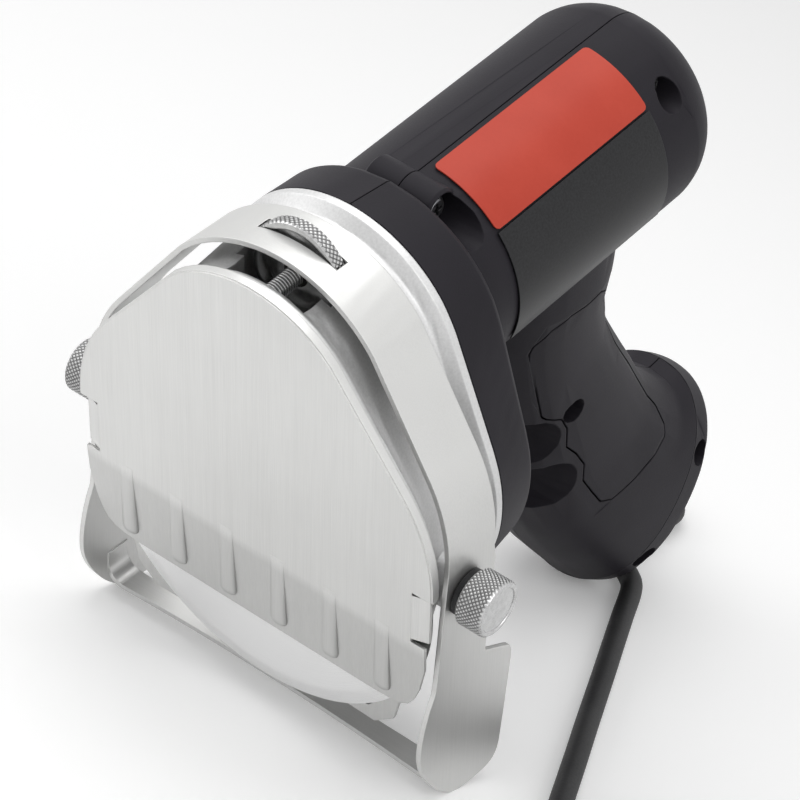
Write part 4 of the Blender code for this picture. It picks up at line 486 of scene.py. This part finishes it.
# %% Slice wheel
wheel_place = np.array(joints["wheel_spin"]["pos_m"])
wheel_way = np.array(joints["wheel_spin"]["axis"])
half, rim, bore, bevel = 0.0017, 0.0126, 0.0033, 0.0004
wheel_profile = [(-half, bore), (-half, rim * 0.55), (-half + 0.0002, rim * 0.57),
                 (-half + 0.0002, rim * 0.85), (-half, rim * 0.87), (-half, rim - bevel)]
wheel_profile += [(distance, rim) for distance in np.linspace(-half + bevel, half - bevel, 20)]
wheel_profile += [(half, rim - bevel), (half, bore)]
wheel = turned("slice_wheel_knurled", wheel_profile, wheel_place, wheel_way, "wheel", 360,
               knurl(58, 0.0013, 0.00020, -half + bevel, half - bevel), closed_along=True)
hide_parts("slice_wheel")
print("slice wheel at", [round(value, 4) for value in wheel_place])

# %% [markdown]
# The wheel runs on a threaded rod that shows in the casting's window. A thread is one groove
# wound round the rod, so the triangle wave's phase is the angle plus the distance over the
# pitch.

# %% Threaded rod
rod_low, rod_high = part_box("adjuster_rod")
rod_middle = np.array([(rod_low.x + rod_high.x) / 2, (rod_low.y + rod_high.y) / 2,
                       (rod_low.z + rod_high.z) / 2])
rod_height = float((rod_middle - head_place) @ head_frame[2])
rod_front, rod_back, rod_radius = -0.0012, 0.0255, 0.0024
thread_pitch, thread_depth = 0.0008, 0.0003


def thread(distance, angle):
    """Depth of the thread: one less a triangle wave, raised by 1.6 and held at one so that its
    crest is flat, of the share of a turn plus the distance over the pitch."""
    phase = (angle / math.tau + distance / thread_pitch) % 1.0
    return thread_depth * (1.0 - np.minimum(1.0, 1.6 - 1.6 * np.abs(phase * 2.0 - 1.0)))


rod_profile = [(rod_front, rod_radius - 0.0004)]
rod_profile += [(distance, rod_radius) for distance in np.linspace(-0.0008, rod_back, 400)]
rod = turned("threaded_rod", rod_profile, from_head((0.0, 0.0, rod_height)), shaft_way,
             "slicer", 48, thread)
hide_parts("adjuster_rod")
print("rod height above the blade's centre:", round(rod_height, 5))

# %% [markdown]
# ## Pressed ribs
# Six ribs are pressed into the cover's lower strip, so that a slice slides off it. Each rises
# gently from the fold and ends bluntly. One surface per rib lies over the solid's own: across
# it, a bump with steep sides and a flat crest, and along it, a ramp with a rounded end.

# %% Ribs
cover_face, fold_height, fold_slope = -0.0030, -0.0050, 0.0011 / 0.0239
rib_top, rib_long, rib_pitch, rib_rise, rib_half = -0.0055, 0.0200, 0.0153, 0.0012, 0.00235
rib_overlay, rib_sunk = 0.00002, 0.0003
rib_along = np.concatenate([np.linspace(-0.08, 0.90, 40), np.linspace(0.905, 1.034, 24)])[:, None]
rib_across = np.linspace(-1.0, 1.0, 41)[None, :]
rib_end = np.clip((rib_along - 0.90) / 0.135, 0.0, 1.0)
rib_start = np.clip((rib_along + 0.08) / 0.13, 0.0, 1.0)
rib_ramp = 0.16 + 0.89 * (1.0 - np.clip(1.0 - rib_along, 0.0, 1.1) ** 1.6)
rib_height = rib_rise * rib_ramp * rib_start ** 2 * (3 - 2 * rib_start) * np.sqrt(1 - rib_end ** 4)
rib_wide = rib_half * (0.84 + 0.19 * np.clip(rib_along, 0.0, 1.0)) * (1.0 - 0.35 * rib_end ** 3)
rib_bump = (1.0 - np.abs(rib_across) ** 2.6) ** 0.55
ribs = []
for index in range(6):
    z = rib_top - rib_long * rib_along
    sheet = cover_face + np.clip(fold_height - z, 0.0, 1.0) * fold_slope
    x = (index - 2.5) * rib_pitch + rib_wide * rib_across
    top = np.stack([x, sheet - rib_overlay - rib_height * rib_bump, z + 0.0 * x], axis=-1)
    under = np.stack([x, sheet + rib_sunk + 0.0 * x, z + 0.0 * x], axis=-1)[:, ::-1]
    skin = from_head(np.concatenate([top, under], axis=1))
    rib = surface("rib_%d" % (index + 1), skin, "cover")
    # painted shade: the cut attribute grows toward each rib's flanks and blunt lower end, where the cover's finish
    # darkens it
    painted_rib_shade = np.maximum(np.abs(rib_across) ** 5 * 0.7 * np.clip(rib_along * 1.5, 0.0, 1.0),
                      rib_end ** 2)
    cut = rib.data.attributes.new("cut", "FLOAT", "POINT")
    cut.data.foreach_set("value", np.concatenate([painted_rib_shade, painted_rib_shade[:, ::-1]], axis=1).ravel())
    ribs.append(rib)
print("ribs:", len(ribs))

# %% [markdown]
# ## Label
# The label is a red film wrapped on the barrel, with rounded corners. A flat rounded rectangle
# is drawn first, as rings that shrink towards its middle, and then bent round the barrel: the
# distance across becomes an angle.

# %% Label film
barrel_radius = 0.02714
film_inner, film_outer = 0.0003, 0.0006
motor_height = float((np.array(joints["motor_spin"]["pos_m"]) - head_place) @ head_frame[2])


def film(name, near, far, low, high, corner, node):
    """Rounded rectangle bent round the barrel. Its outline holds evenly spaced points: a step
    along the perimeter lies on a straight side or on a corner's arc. Rings of it shrink to the
    middle on two layers, a film's thickness apart."""
    half = np.array([(far - near) / 2, (high - low) * barrel_radius / 2])
    straight = 2 * (half - corner)
    arc = corner * math.pi / 2
    stretches = np.array([straight[1], arc, straight[0], arc] * 2)
    ends = np.cumsum(stretches)
    place = np.linspace(0.0, ends[-1], 200, endpoint=False)
    index = np.searchsorted(ends, place, side="right")
    within = place - (ends - stretches)[index]
    quarter = index // 2
    turn = quarter * math.pi / 2 + np.where(index % 2 == 1, within / corner, 0.0)
    signs = np.array([(1, 1), (-1, 1), (-1, -1), (1, -1)])[quarter]
    outline = (half - corner) * signs + corner * np.stack([np.cos(turn), np.sin(turn)], axis=1)
    ways = np.array([(0, 1), (-1, 0), (0, -1), (1, 0)])[quarter]
    left = np.where(index % 2 == 0, within - stretches[index], 0.0)
    outline = outline + ways * left[:, None]
    rings = [outline * (0.02 + 0.98 * value) for value in np.linspace(1.0, 0.0, 9)]
    layers = [(ring, lift) for lift, order in ((film_outer, rings[::-1]), (film_inner, rings))
              for ring in order]
    grid = np.stack([np.concatenate([ring, np.full((len(ring), 1), lift)], axis=1)
                     for ring, lift in layers])
    angle = (low + high) / 2 + grid[..., 1] / barrel_radius
    radius = barrel_radius + grid[..., 2]
    points = np.stack([radius * np.cos(angle), (near + far) / 2 + grid[..., 0],
                       motor_height + radius * np.sin(angle)], axis=-1)
    piece = surface(name, from_head(points), "slicer")
    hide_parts(node)
    return piece


label_near, label_far, label_corner = 0.0579, 0.1146, 0.0013
label_low, label_high = math.radians(42.9), math.radians(86.3)
label_film = film("label_film", label_near, label_far, label_low, label_high, label_corner,
                  "label_panel")
print("label film:", len(label_film.data.polygons), "faces")

# %% [markdown]
# ## Shader helper
# A procedural finish is arithmetic on textures. Writing it as Python sums reads better than
# wiring nodes by hand, so one small class stands for a socket and turns +, - and * into Math
# nodes, and one method makes any other node.

# %% Shader maths


class Flow:
    """A number that changes over the surface: sums and products of it add Math nodes."""

    def __init__(self, finish, socket):
        self.finish = finish
        self.socket = socket

    def sum_of(self, operation, first, second):
        """One Math node of two values."""
        return self.finish.node("ShaderNodeMath", {"operation": operation},
                                {0: first, 1: second})

    def __add__(self, other):
        return self.sum_of("ADD", self, other)

    __radd__ = __add__

    def __mul__(self, other):
        return self.sum_of("MULTIPLY", self, other)

    __rmul__ = __mul__

    def __sub__(self, other):
        return self.sum_of("SUBTRACT", self, other)

    def __rsub__(self, other):
        return self.sum_of("SUBTRACT", other, self)


class Nodes:
    """A node tree under construction, of a material or of the world."""

    def __init__(self, tree):
        self.tree = tree

    def node(self, kind, settings, inputs, output=0):
        """Add one node: settings first, then its sockets, as values or as links."""
        made = self.tree.nodes.new(kind)
        for key, value in settings.items():
            if key == "stops":
                ramp = made.color_ramp.elements
                while len(ramp) < len(value):
                    ramp.new(0.5)
                for element, (position, colour) in zip(ramp, value):
                    element.position = position
                    element.color = (*colour, 1.0)
            else:
                setattr(made, key, value)
        for key, value in inputs.items():
            if isinstance(value, Flow):
                self.tree.links.new(value.socket, made.inputs[key])
            else:
                made.inputs[key].default_value = value
        return Flow(self, made.outputs[output])

    def blend(self, share, first, second):
        """Mix of two colours."""
        mixer = self.node("ShaderNodeMix", {"data_type": "RGBA"}, {0: share}, 2)
        node = mixer.socket.node
        for slot_index, colour in ((6, first), (7, second)):
            if isinstance(colour, Flow):
                self.tree.links.new(colour.socket, node.inputs[slot_index])
            else:
                node.inputs[slot_index].default_value = (*colour, 1.0)
        return mixer

    def seen_by_eye(self):
        """One for camera, glossy and transmission rays, and nothing for the light that falls."""
        seen = self.node("ShaderNodeLightPath", {}, {}, "Is Camera Ray")
        path = seen.socket.node
        for ray in ("Is Glossy Ray", "Is Transmission Ray"):
            seen = self.node("ShaderNodeMath", {"operation": "MAXIMUM"},
                             {0: seen, 1: Flow(self, path.outputs[ray])})
        return seen


class Finish(Nodes):
    """A material under construction: its nodes, its Principled shader and its coordinates."""

    def __init__(self, name, roughness, metallic, **constants):
        self.material = bpy.data.materials.new(name)
        self.material.use_nodes = True
        super().__init__(self.material.node_tree)
        self.shader = self.tree.nodes["Principled BSDF"]
        self.shader.inputs["Roughness"].default_value = roughness
        self.shader.inputs["Metallic"].default_value = metallic
        for socket, value in constants.items():
            self.shader.inputs[socket.replace("_", " ")].default_value = value
        self.place = self.node("ShaderNodeTexCoord", {}, {}, "Object")
        self.facing = self.node("ShaderNodeTexCoord", {}, {}, "Normal")

    def mapped(self, scale, turn=(0.0, 0.0, 0.0)):
        """Object coordinates turned, then stretched."""
        turned_place = self.node("ShaderNodeMapping", {},
                                 {"Vector": self.place, "Rotation": turn})
        return self.node("ShaderNodeMapping", {}, {"Vector": turned_place, "Scale": scale})

    def noise(self, scale, detail=2.0, roughness=0.5, place=None):
        """Soft random values from 0 to 1."""
        return self.node("ShaderNodeTexNoise", {},
                         {"Vector": place or self.place, "Scale": scale, "Detail": detail,
                          "Roughness": roughness}, "Fac")

    def ramp(self, value, *stops):
        """Colours between stops along a value."""
        return self.node("ShaderNodeValToRGB", {"stops": stops}, {"Fac": value}, "Color")

    def bump(self, height, distance, strength=1.0, edge=0.0):
        """Raise the surface by a height times a distance; edge rounds its corners as seen."""
        inputs = {"Height": height, "Distance": distance, "Strength": strength}
        if edge > 0.0:
            inputs["Normal"] = self.node("ShaderNodeBevel", {"samples": 6}, {"Radius": edge})
        return self.node("ShaderNodeBump", {}, inputs)

    def set(self, **links):
        """Feed sockets of the shader."""
        for socket, value in links.items():
            self.tree.links.new(value.socket, self.shader.inputs[socket.replace("_", " ")])
        return self.material


def dress(material, *pieces):
    """Give CAD nodes, by name, and new pieces this material alone."""
    for piece in pieces:
        target = piece
        if isinstance(piece, str):
            target = fine[piece] if piece in fine else frame["nodes"][piece]
        target.data.materials.clear()
        target.data.materials.append(material)
    print(material.name, "on", len(pieces), "pieces")


lean = -math.asin(shaft_way[2])

# %% [markdown]
# ## Plastic
# The barrel, collar and handle are moulded in charcoal plastic with a fine spark texture. Noise
# at two sizes makes it: grains under a millimetre raise the surface and spread the gloss, and a
# slow cloud varies the colour by a few percent, as handled plastic does.

# %% Charcoal plastic
charcoal = Finish("charcoal_plastic", 0.5, 0.0, Specular_IOR_Level=0.14)
grain = charcoal.noise(2600.0, 3.0)
cloud = charcoal.noise(40.0, 3.0)
charcoal_colour = charcoal.ramp(cloud * 0.7 + grain * 0.3,
                                (0.30, (0.0180, 0.0163, 0.0205)), (0.70, (0.0255, 0.0233, 0.0290)))
charcoal.set(Base_Color=charcoal_colour, Roughness=0.46 + 0.16 * grain,
             Normal=charcoal.bump(grain, 0.00004, 0.9, edge=0.0004))
dress(charcoal.material, "housing_left", "housing_right", "grip_panel_left",
      "grip_panel_right", "handle_end_cap")

black = Finish("black_plastic_moulded", 0.4, 0.0, Specular_IOR_Level=0.25)
speck = black.noise(1800.0, 2.0)
black.set(Base_Color=black.ramp(speck, (0.3, (0.012, 0.012, 0.013)), (0.7, (0.022, 0.022, 0.024))),
          Roughness=0.34 + 0.14 * speck, Normal=black.bump(speck, 0.00002, 0.6, edge=0.0002))
dress(black.material, "cooling_fan", "pivot_spacer_left", "pivot_spacer_right", "rating_plate",
      "switch_body", "switch_rocker", plug_form)

# %% [markdown]
# Rubber is softer and duller than plastic: a little dust in its pores lightens it unevenly.

# %% Rubber
rubber = Finish("cord_rubber", 0.6, 0.0, Specular_IOR_Level=0.25)
pores = rubber.noise(1500.0, 3.0)
dust = rubber.noise(60.0, 4.0)
rubber_colour = rubber.ramp(dust, (0.35, (0.016, 0.016, 0.017)),
                            (0.75, (0.030, 0.030, 0.031)))
rubber.set(Base_Color=rubber_colour,
           Roughness=0.50 + 0.20 * pores, Normal=rubber.bump(pores, 0.00003, 0.7))
dress(rubber.material, "drive_belt", mains_cord, relief_sleeve)

# %% [markdown]
# ## Brushed steel
# Sheet steel is ground with an abrasive belt, so it is covered in fine lines that all run one
# way: up the head on the cover. Noise that is squeezed across the grain and stretched along it
# gives lines of every width. The head leans, so its coordinates are turned upright first.

# %% Brushed steel


def brushed(name, colour, scale, roughness=0.34, depth=0.00001, fold=None, bent=None):
    """Steel ground one way: noise stretched by scale, in roughness, colour and height. Below a fold's height up
    the head, the sheet is darkened as painted shade, and the ribs' flanks and blunt ends are darkened as painted
    shade by their cut attribute.
    A bent sheet was ground flat, so on the faces that look sideways its lines are stretched by
    bent instead, and it has no broad lines."""
    steel = Finish(name, roughness, 1.0)
    lines = steel.noise(1.0, 4.0, 0.7, steel.mapped(scale, (lean, 0.0, 0.0)))
    patches = steel.noise(35.0, 3.0)
    broad = 0.5
    if bent is None:
        broad = steel.noise(1.0, 2.0, 0.5, steel.mapped(tuple(value * 0.12 for value in scale),
                                                        (lean, 0.0, 0.0)))
    else:
        side_lines = steel.noise(1.0, 4.0, 0.7, steel.mapped(bent, (lean, 0.0, 0.0)))
        facing = steel.node("ShaderNodeSeparateXYZ", {}, {0: steel.facing}, "X")
        facing = steel.node("ShaderNodeMath", {"operation": "ABSOLUTE"}, {0: facing})
        lines = lines + facing * (side_lines - lines)
    tone = lines * 0.6 + broad * 0.15 + patches * 0.25
    dark = tuple(value * 0.92 for value in colour)
    pale = tuple(min(value * 1.05, 1.0) for value in colour)
    polish = steel.ramp(tone, (0.35, dark), (0.65, pale))
    if fold is not None:
        height = steel.node("ShaderNodeVectorMath", {"operation": "DOT_PRODUCT"},
                            {0: steel.place, 1: tuple(head_frame[2])}, "Value")
        level = float(head_place @ head_frame[2]) + fold
        below = steel.node("ShaderNodeMapRange", {}, {
            "Value": height, "From Min": level, "From Max": level - 0.0030})
        painted_rib_shade = steel.node("ShaderNodeAttribute", {"attribute_name": "cut"}, {}, "Fac")
        # painted shade: below the fold, the strip's colour is pulled a little toward dark grey
        polish = steel.blend(0.16 * below, polish, (0.05, 0.05, 0.05))
        # painted shade: the ribs' flanks and blunt ends are pulled toward dark grey by their cut attribute
        polish = steel.blend(0.60 * painted_rib_shade, polish, (0.10, 0.10, 0.10))
    steel.set(Base_Color=polish,
              Roughness=roughness - 0.06 + 0.16 * lines + 0.05 * patches,
              Normal=steel.bump(lines, depth, 0.8, edge=0.0003))
    return steel.material


dress(brushed("cover_steel", (0.67, 0.67, 0.66), (5200.0, 5200.0, 45.0), fold=-0.0050),
      "front_cover", "blade_back_plate", *ribs)
dress(brushed("guard_steel", (0.65, 0.65, 0.64), (60.0, 5200.0, 5200.0), 0.38,
              bent=(5200.0, 5200.0, 60.0)), "guard_frame")

# %% [markdown]
# The blade is ground round its own centre, so its lines are circles. The distance from the
# shaft is the length of the coordinates across it, and noise along that distance gives rings.

# %% Ground blade
ground = Finish("ground_blade_steel", 0.16, 1.0)
centred = ground.node("ShaderNodeMapping", {}, {
    "Vector": ground.node("ShaderNodeVectorMath", {"operation": "SUBTRACT"},
                          {0: ground.place, 1: tuple(head_place)}), "Rotation": (lean, 0.0, 0.0)})
split = ground.node("ShaderNodeSeparateXYZ", {}, {0: centred}, "X")
split_height = Flow(ground, split.socket.node.outputs["Z"])
reach = ground.node("ShaderNodeMath", {"operation": "SQRT"},
                    {0: split * split + split_height * split_height})
ring_lines = ground.node("ShaderNodeTexNoise", {"noise_dimensions": "1D"},
                         {"W": reach * 9000.0, "Scale": 1.0, "Detail": 2.0}, "Fac")
ground.set(Base_Color=ground.ramp(ring_lines, (0.3, (0.76, 0.76, 0.76)), (0.7, (0.88, 0.88, 0.88))),
           Roughness=0.12 + 0.12 * ring_lines, Normal=ground.bump(ring_lines, 0.000004, 0.6))
dress(ground.material, "blade")

# %% [markdown]
# ## Turned, blackened and cast metal
# Knobs, the wheel and screws are turned from bright bar. Screws of the housing are blackened.
# The head is cast: its skin is satin, slightly pitted and cloudy.

# %% Turned steel


def plain_metal(name, dark, pale, roughness, grain_size=900.0, depth=0.00001, edge=0.00015,
                grain_share=0.4):
    """Metal with an even grain: noise varies its tone, its gloss and, barely, its height. The
    grain gives grain_share of the tone, and a slow cloud gives the rest."""
    metal = Finish(name, roughness, 1.0)
    grains = metal.noise(grain_size, 3.0)
    slow = metal.noise(70.0, 3.0)
    metal.set(Base_Color=metal.ramp(grains * grain_share + slow * (1.0 - grain_share),
                                    (0.35, dark), (0.65, pale)),
              Roughness=roughness - 0.05 + 0.12 * slow + 0.04 * grains,
              Normal=metal.bump(grains, depth, 0.8, edge=edge))
    return metal.material


dress(plain_metal("turned_steel", (0.56, 0.56, 0.56), (0.68, 0.68, 0.68), 0.24),
      "blade_clamp_screw", "blade_bearing_front", "blade_bearing_rear", "motor_bearing_front",
      "motor_bearing_rear", "plate_screw_1", "plate_screw_2", "plate_screw_3", "plate_screw_4",
      *plug_pieces[1:])

# %% [markdown]
# In a knurl or a thread, the grooves are darkened toward near black as painted shade, while the tips keep the
# bright turned tone. The share of the cut that was kept on each mesh says where a groove is.

# %% Knurled steel
knurled = Finish("knurled_steel", 0.3, 1.0)
groove = knurled.node("ShaderNodeAttribute", {"attribute_name": "cut"}, {}, "Fac")
rub = knurled.noise(900.0, 3.0)
tips = knurled.ramp(rub, (0.35, (0.50, 0.50, 0.50)), (0.65, (0.60, 0.60, 0.60)))
# painted shade: the base colour blends toward near black by the groove's share of the cut
knurled.set(Base_Color=knurled.blend(groove, tips, (0.05, 0.05, 0.05)),
            Roughness=0.22 + 0.30 * groove + 0.06 * rub,
            Normal=knurled.bump(rub, 0.00001, 0.8, edge=0.0001))
dress(knurled.material, wheel, rod,
      *[bpy.data.objects["thumb_knob_" + side] for side in ("left", "right")])

# %% Blackened and cast metal
dress(plain_metal("blackened_steel", (0.16, 0.16, 0.17), (0.26, 0.26, 0.27), 0.38),
      "blade_arbor", "motor_shaft", "housing_screw_barrel", "housing_screw_collar",
      "housing_screw_grip", "cap_screw_1", "cap_screw_2")
dress(plain_metal("cast_alloy_satin", (0.63, 0.63, 0.63), (0.71, 0.71, 0.71), 0.46, 1700.0,
                  0.00002, 0.0005, 0.75),
      "head_casting", "blade_pulley", "motor_pulley")
dress(plain_metal("bright_brass", (0.62, 0.44, 0.17), (0.78, 0.58, 0.26), 0.30),
      "brush_holder_left", "brush_holder_right")

# %% [markdown]
# ## Label and motor parts
# The label is printed film: flat red, with a satin face. Inside, stacked laminations show as
# fine dark lines across the shaft, and the coils as wire wound round it.

# %% Label film finish
film_red = Finish("label_red_film", 0.42, 0.0, Specular_IOR_Level=0.2)
fibre = film_red.noise(900.0, 3.0)
fade = film_red.noise(55.0, 3.0)
film_red.set(Base_Color=film_red.ramp(fade * 0.8 + fibre * 0.2, (0.35, (0.540, 0.064, 0.039)),
                                      (0.65, (0.590, 0.077, 0.048))),
             Roughness=0.36 + 0.12 * fibre, Normal=film_red.bump(fibre, 0.00001, 0.5))
dress(film_red.material, label_film)

# %% Motor finishes


def banded(name, dark, pale, pitch, roughness, metallic):
    """Stripes along the motor's shaft: a sine wave of the distance over the pitch."""
    stripes = Finish(name, roughness, metallic)
    wave = stripes.node("ShaderNodeTexWave", {"bands_direction": "Y"},
                        {"Vector": stripes.mapped((1.0, 1.0, 1.0), (lean, 0.0, 0.0)),
                         "Scale": math.tau / 20.0 / pitch, "Distortion": 0.4, "Detail": 1.0},
                        "Fac")
    mottle = stripes.noise(300.0, 3.0)
    stripes.set(Base_Color=stripes.ramp(wave * 0.8 + mottle * 0.2, (0.25, dark), (0.75, pale)),
                Roughness=roughness - 0.05 + 0.12 * mottle,
                Normal=stripes.bump(wave, 0.00008, 0.8))
    return stripes.material


dress(banded("laminated_iron", (0.14, 0.14, 0.15), (0.36, 0.36, 0.37), 0.0010, 0.46, 1.0),
      "stator_core", "rotor_core")
dress(banded("wound_copper_wire", (0.30, 0.10, 0.035), (0.66, 0.28, 0.11), 0.0008, 0.34, 1.0),
      "field_coil_front", "field_coil_rear", "commutator", "lead_live", "lead_neutral")
dress(banded("pressed_carbon", (0.018, 0.018, 0.018), (0.040, 0.040, 0.040), 0.0012, 0.6, 0.0),
      "carbon_brush_left", "carbon_brush_right")

# %% [markdown]
# ## Floor and light
# The slicer stands on white paper in soft light. The paper and the world are white to the camera
# and to reflections through Light Path, so the lamps can stay at the level at which a colour
# renders as it is written.

# %% Floor
floor_size = 3.0
floor_mesh = bpy.data.meshes.new("floor")
floor_mesh.from_pydata([(-floor_size, -floor_size, 0.0), (floor_size, -floor_size, 0.0),
                        (floor_size, floor_size, 0.0), (-floor_size, floor_size, 0.0)], [],
                       [(0, 1, 2, 3)])
floor = bpy.data.objects.new("floor", floor_mesh)
bpy.context.collection.objects.link(floor)
paper_colour, paper_glow = (0.97, 0.97, 0.97), (0.18, 0.18, 0.18)
paper = Finish("floor_paper", 0.9, 0.0, Base_Color=(*paper_colour, 1.0), Emission_Strength=1.0)
paper.set(Emission_Color=paper.blend(paper.seen_by_eye(), (0.0, 0.0, 0.0), paper_glow))
floor_mesh.materials.append(paper.material)
print("floor side:", 2 * floor_size)

# %% World
world = bpy.data.worlds.new("room")
bpy.context.scene.world = world
world.use_nodes = True
back = world.node_tree.nodes["Background"]
back.inputs["Color"].default_value = (1.0, 1.0, 1.0, 1.0)
room = Nodes(world.node_tree)
falling, seen = 0.42, 1.0
strength = room.node("ShaderNodeMapRange", {}, {
    "Value": room.seen_by_eye(), "To Min": falling, "To Max": seen})
room.tree.links.new(strength.socket, back.inputs["Strength"])
print("world strength, falling and seen:", falling, seen)

# %% Lamps


def soft_lamp(name, place, aim, width, height, power):
    """Area lamp: its -Z axis is turned from its place towards the point that it lights."""
    data = bpy.data.lights.new(name, "AREA")
    data.shape = "RECTANGLE"
    data.size, data.size_y, data.energy = width, height, power
    lamp = bpy.data.objects.new(name, data)
    bpy.context.collection.objects.link(lamp)
    way = Vector(aim) - Vector(place)
    turn = way.to_track_quat("-Z", "Y").to_matrix().to_4x4()
    lamp.matrix_world = Matrix.Translation(place) @ turn
    print(name, "power", power)
    return lamp


aim = (0.0, 0.0, 0.08)
soft_lamp("lamp_above", (-0.15, -0.10, 1.10), aim, 0.9, 0.9, 4.7)
soft_lamp("lamp_left", (-1.00, -0.55, 0.60), aim, 0.7, 0.9, 3.0)
soft_lamp("lamp_right", (0.95, -0.40, 0.75), aim, 0.5, 0.8, 2.3)

# %% Finish
bpy.context.scene.view_settings.view_transform = "Standard"
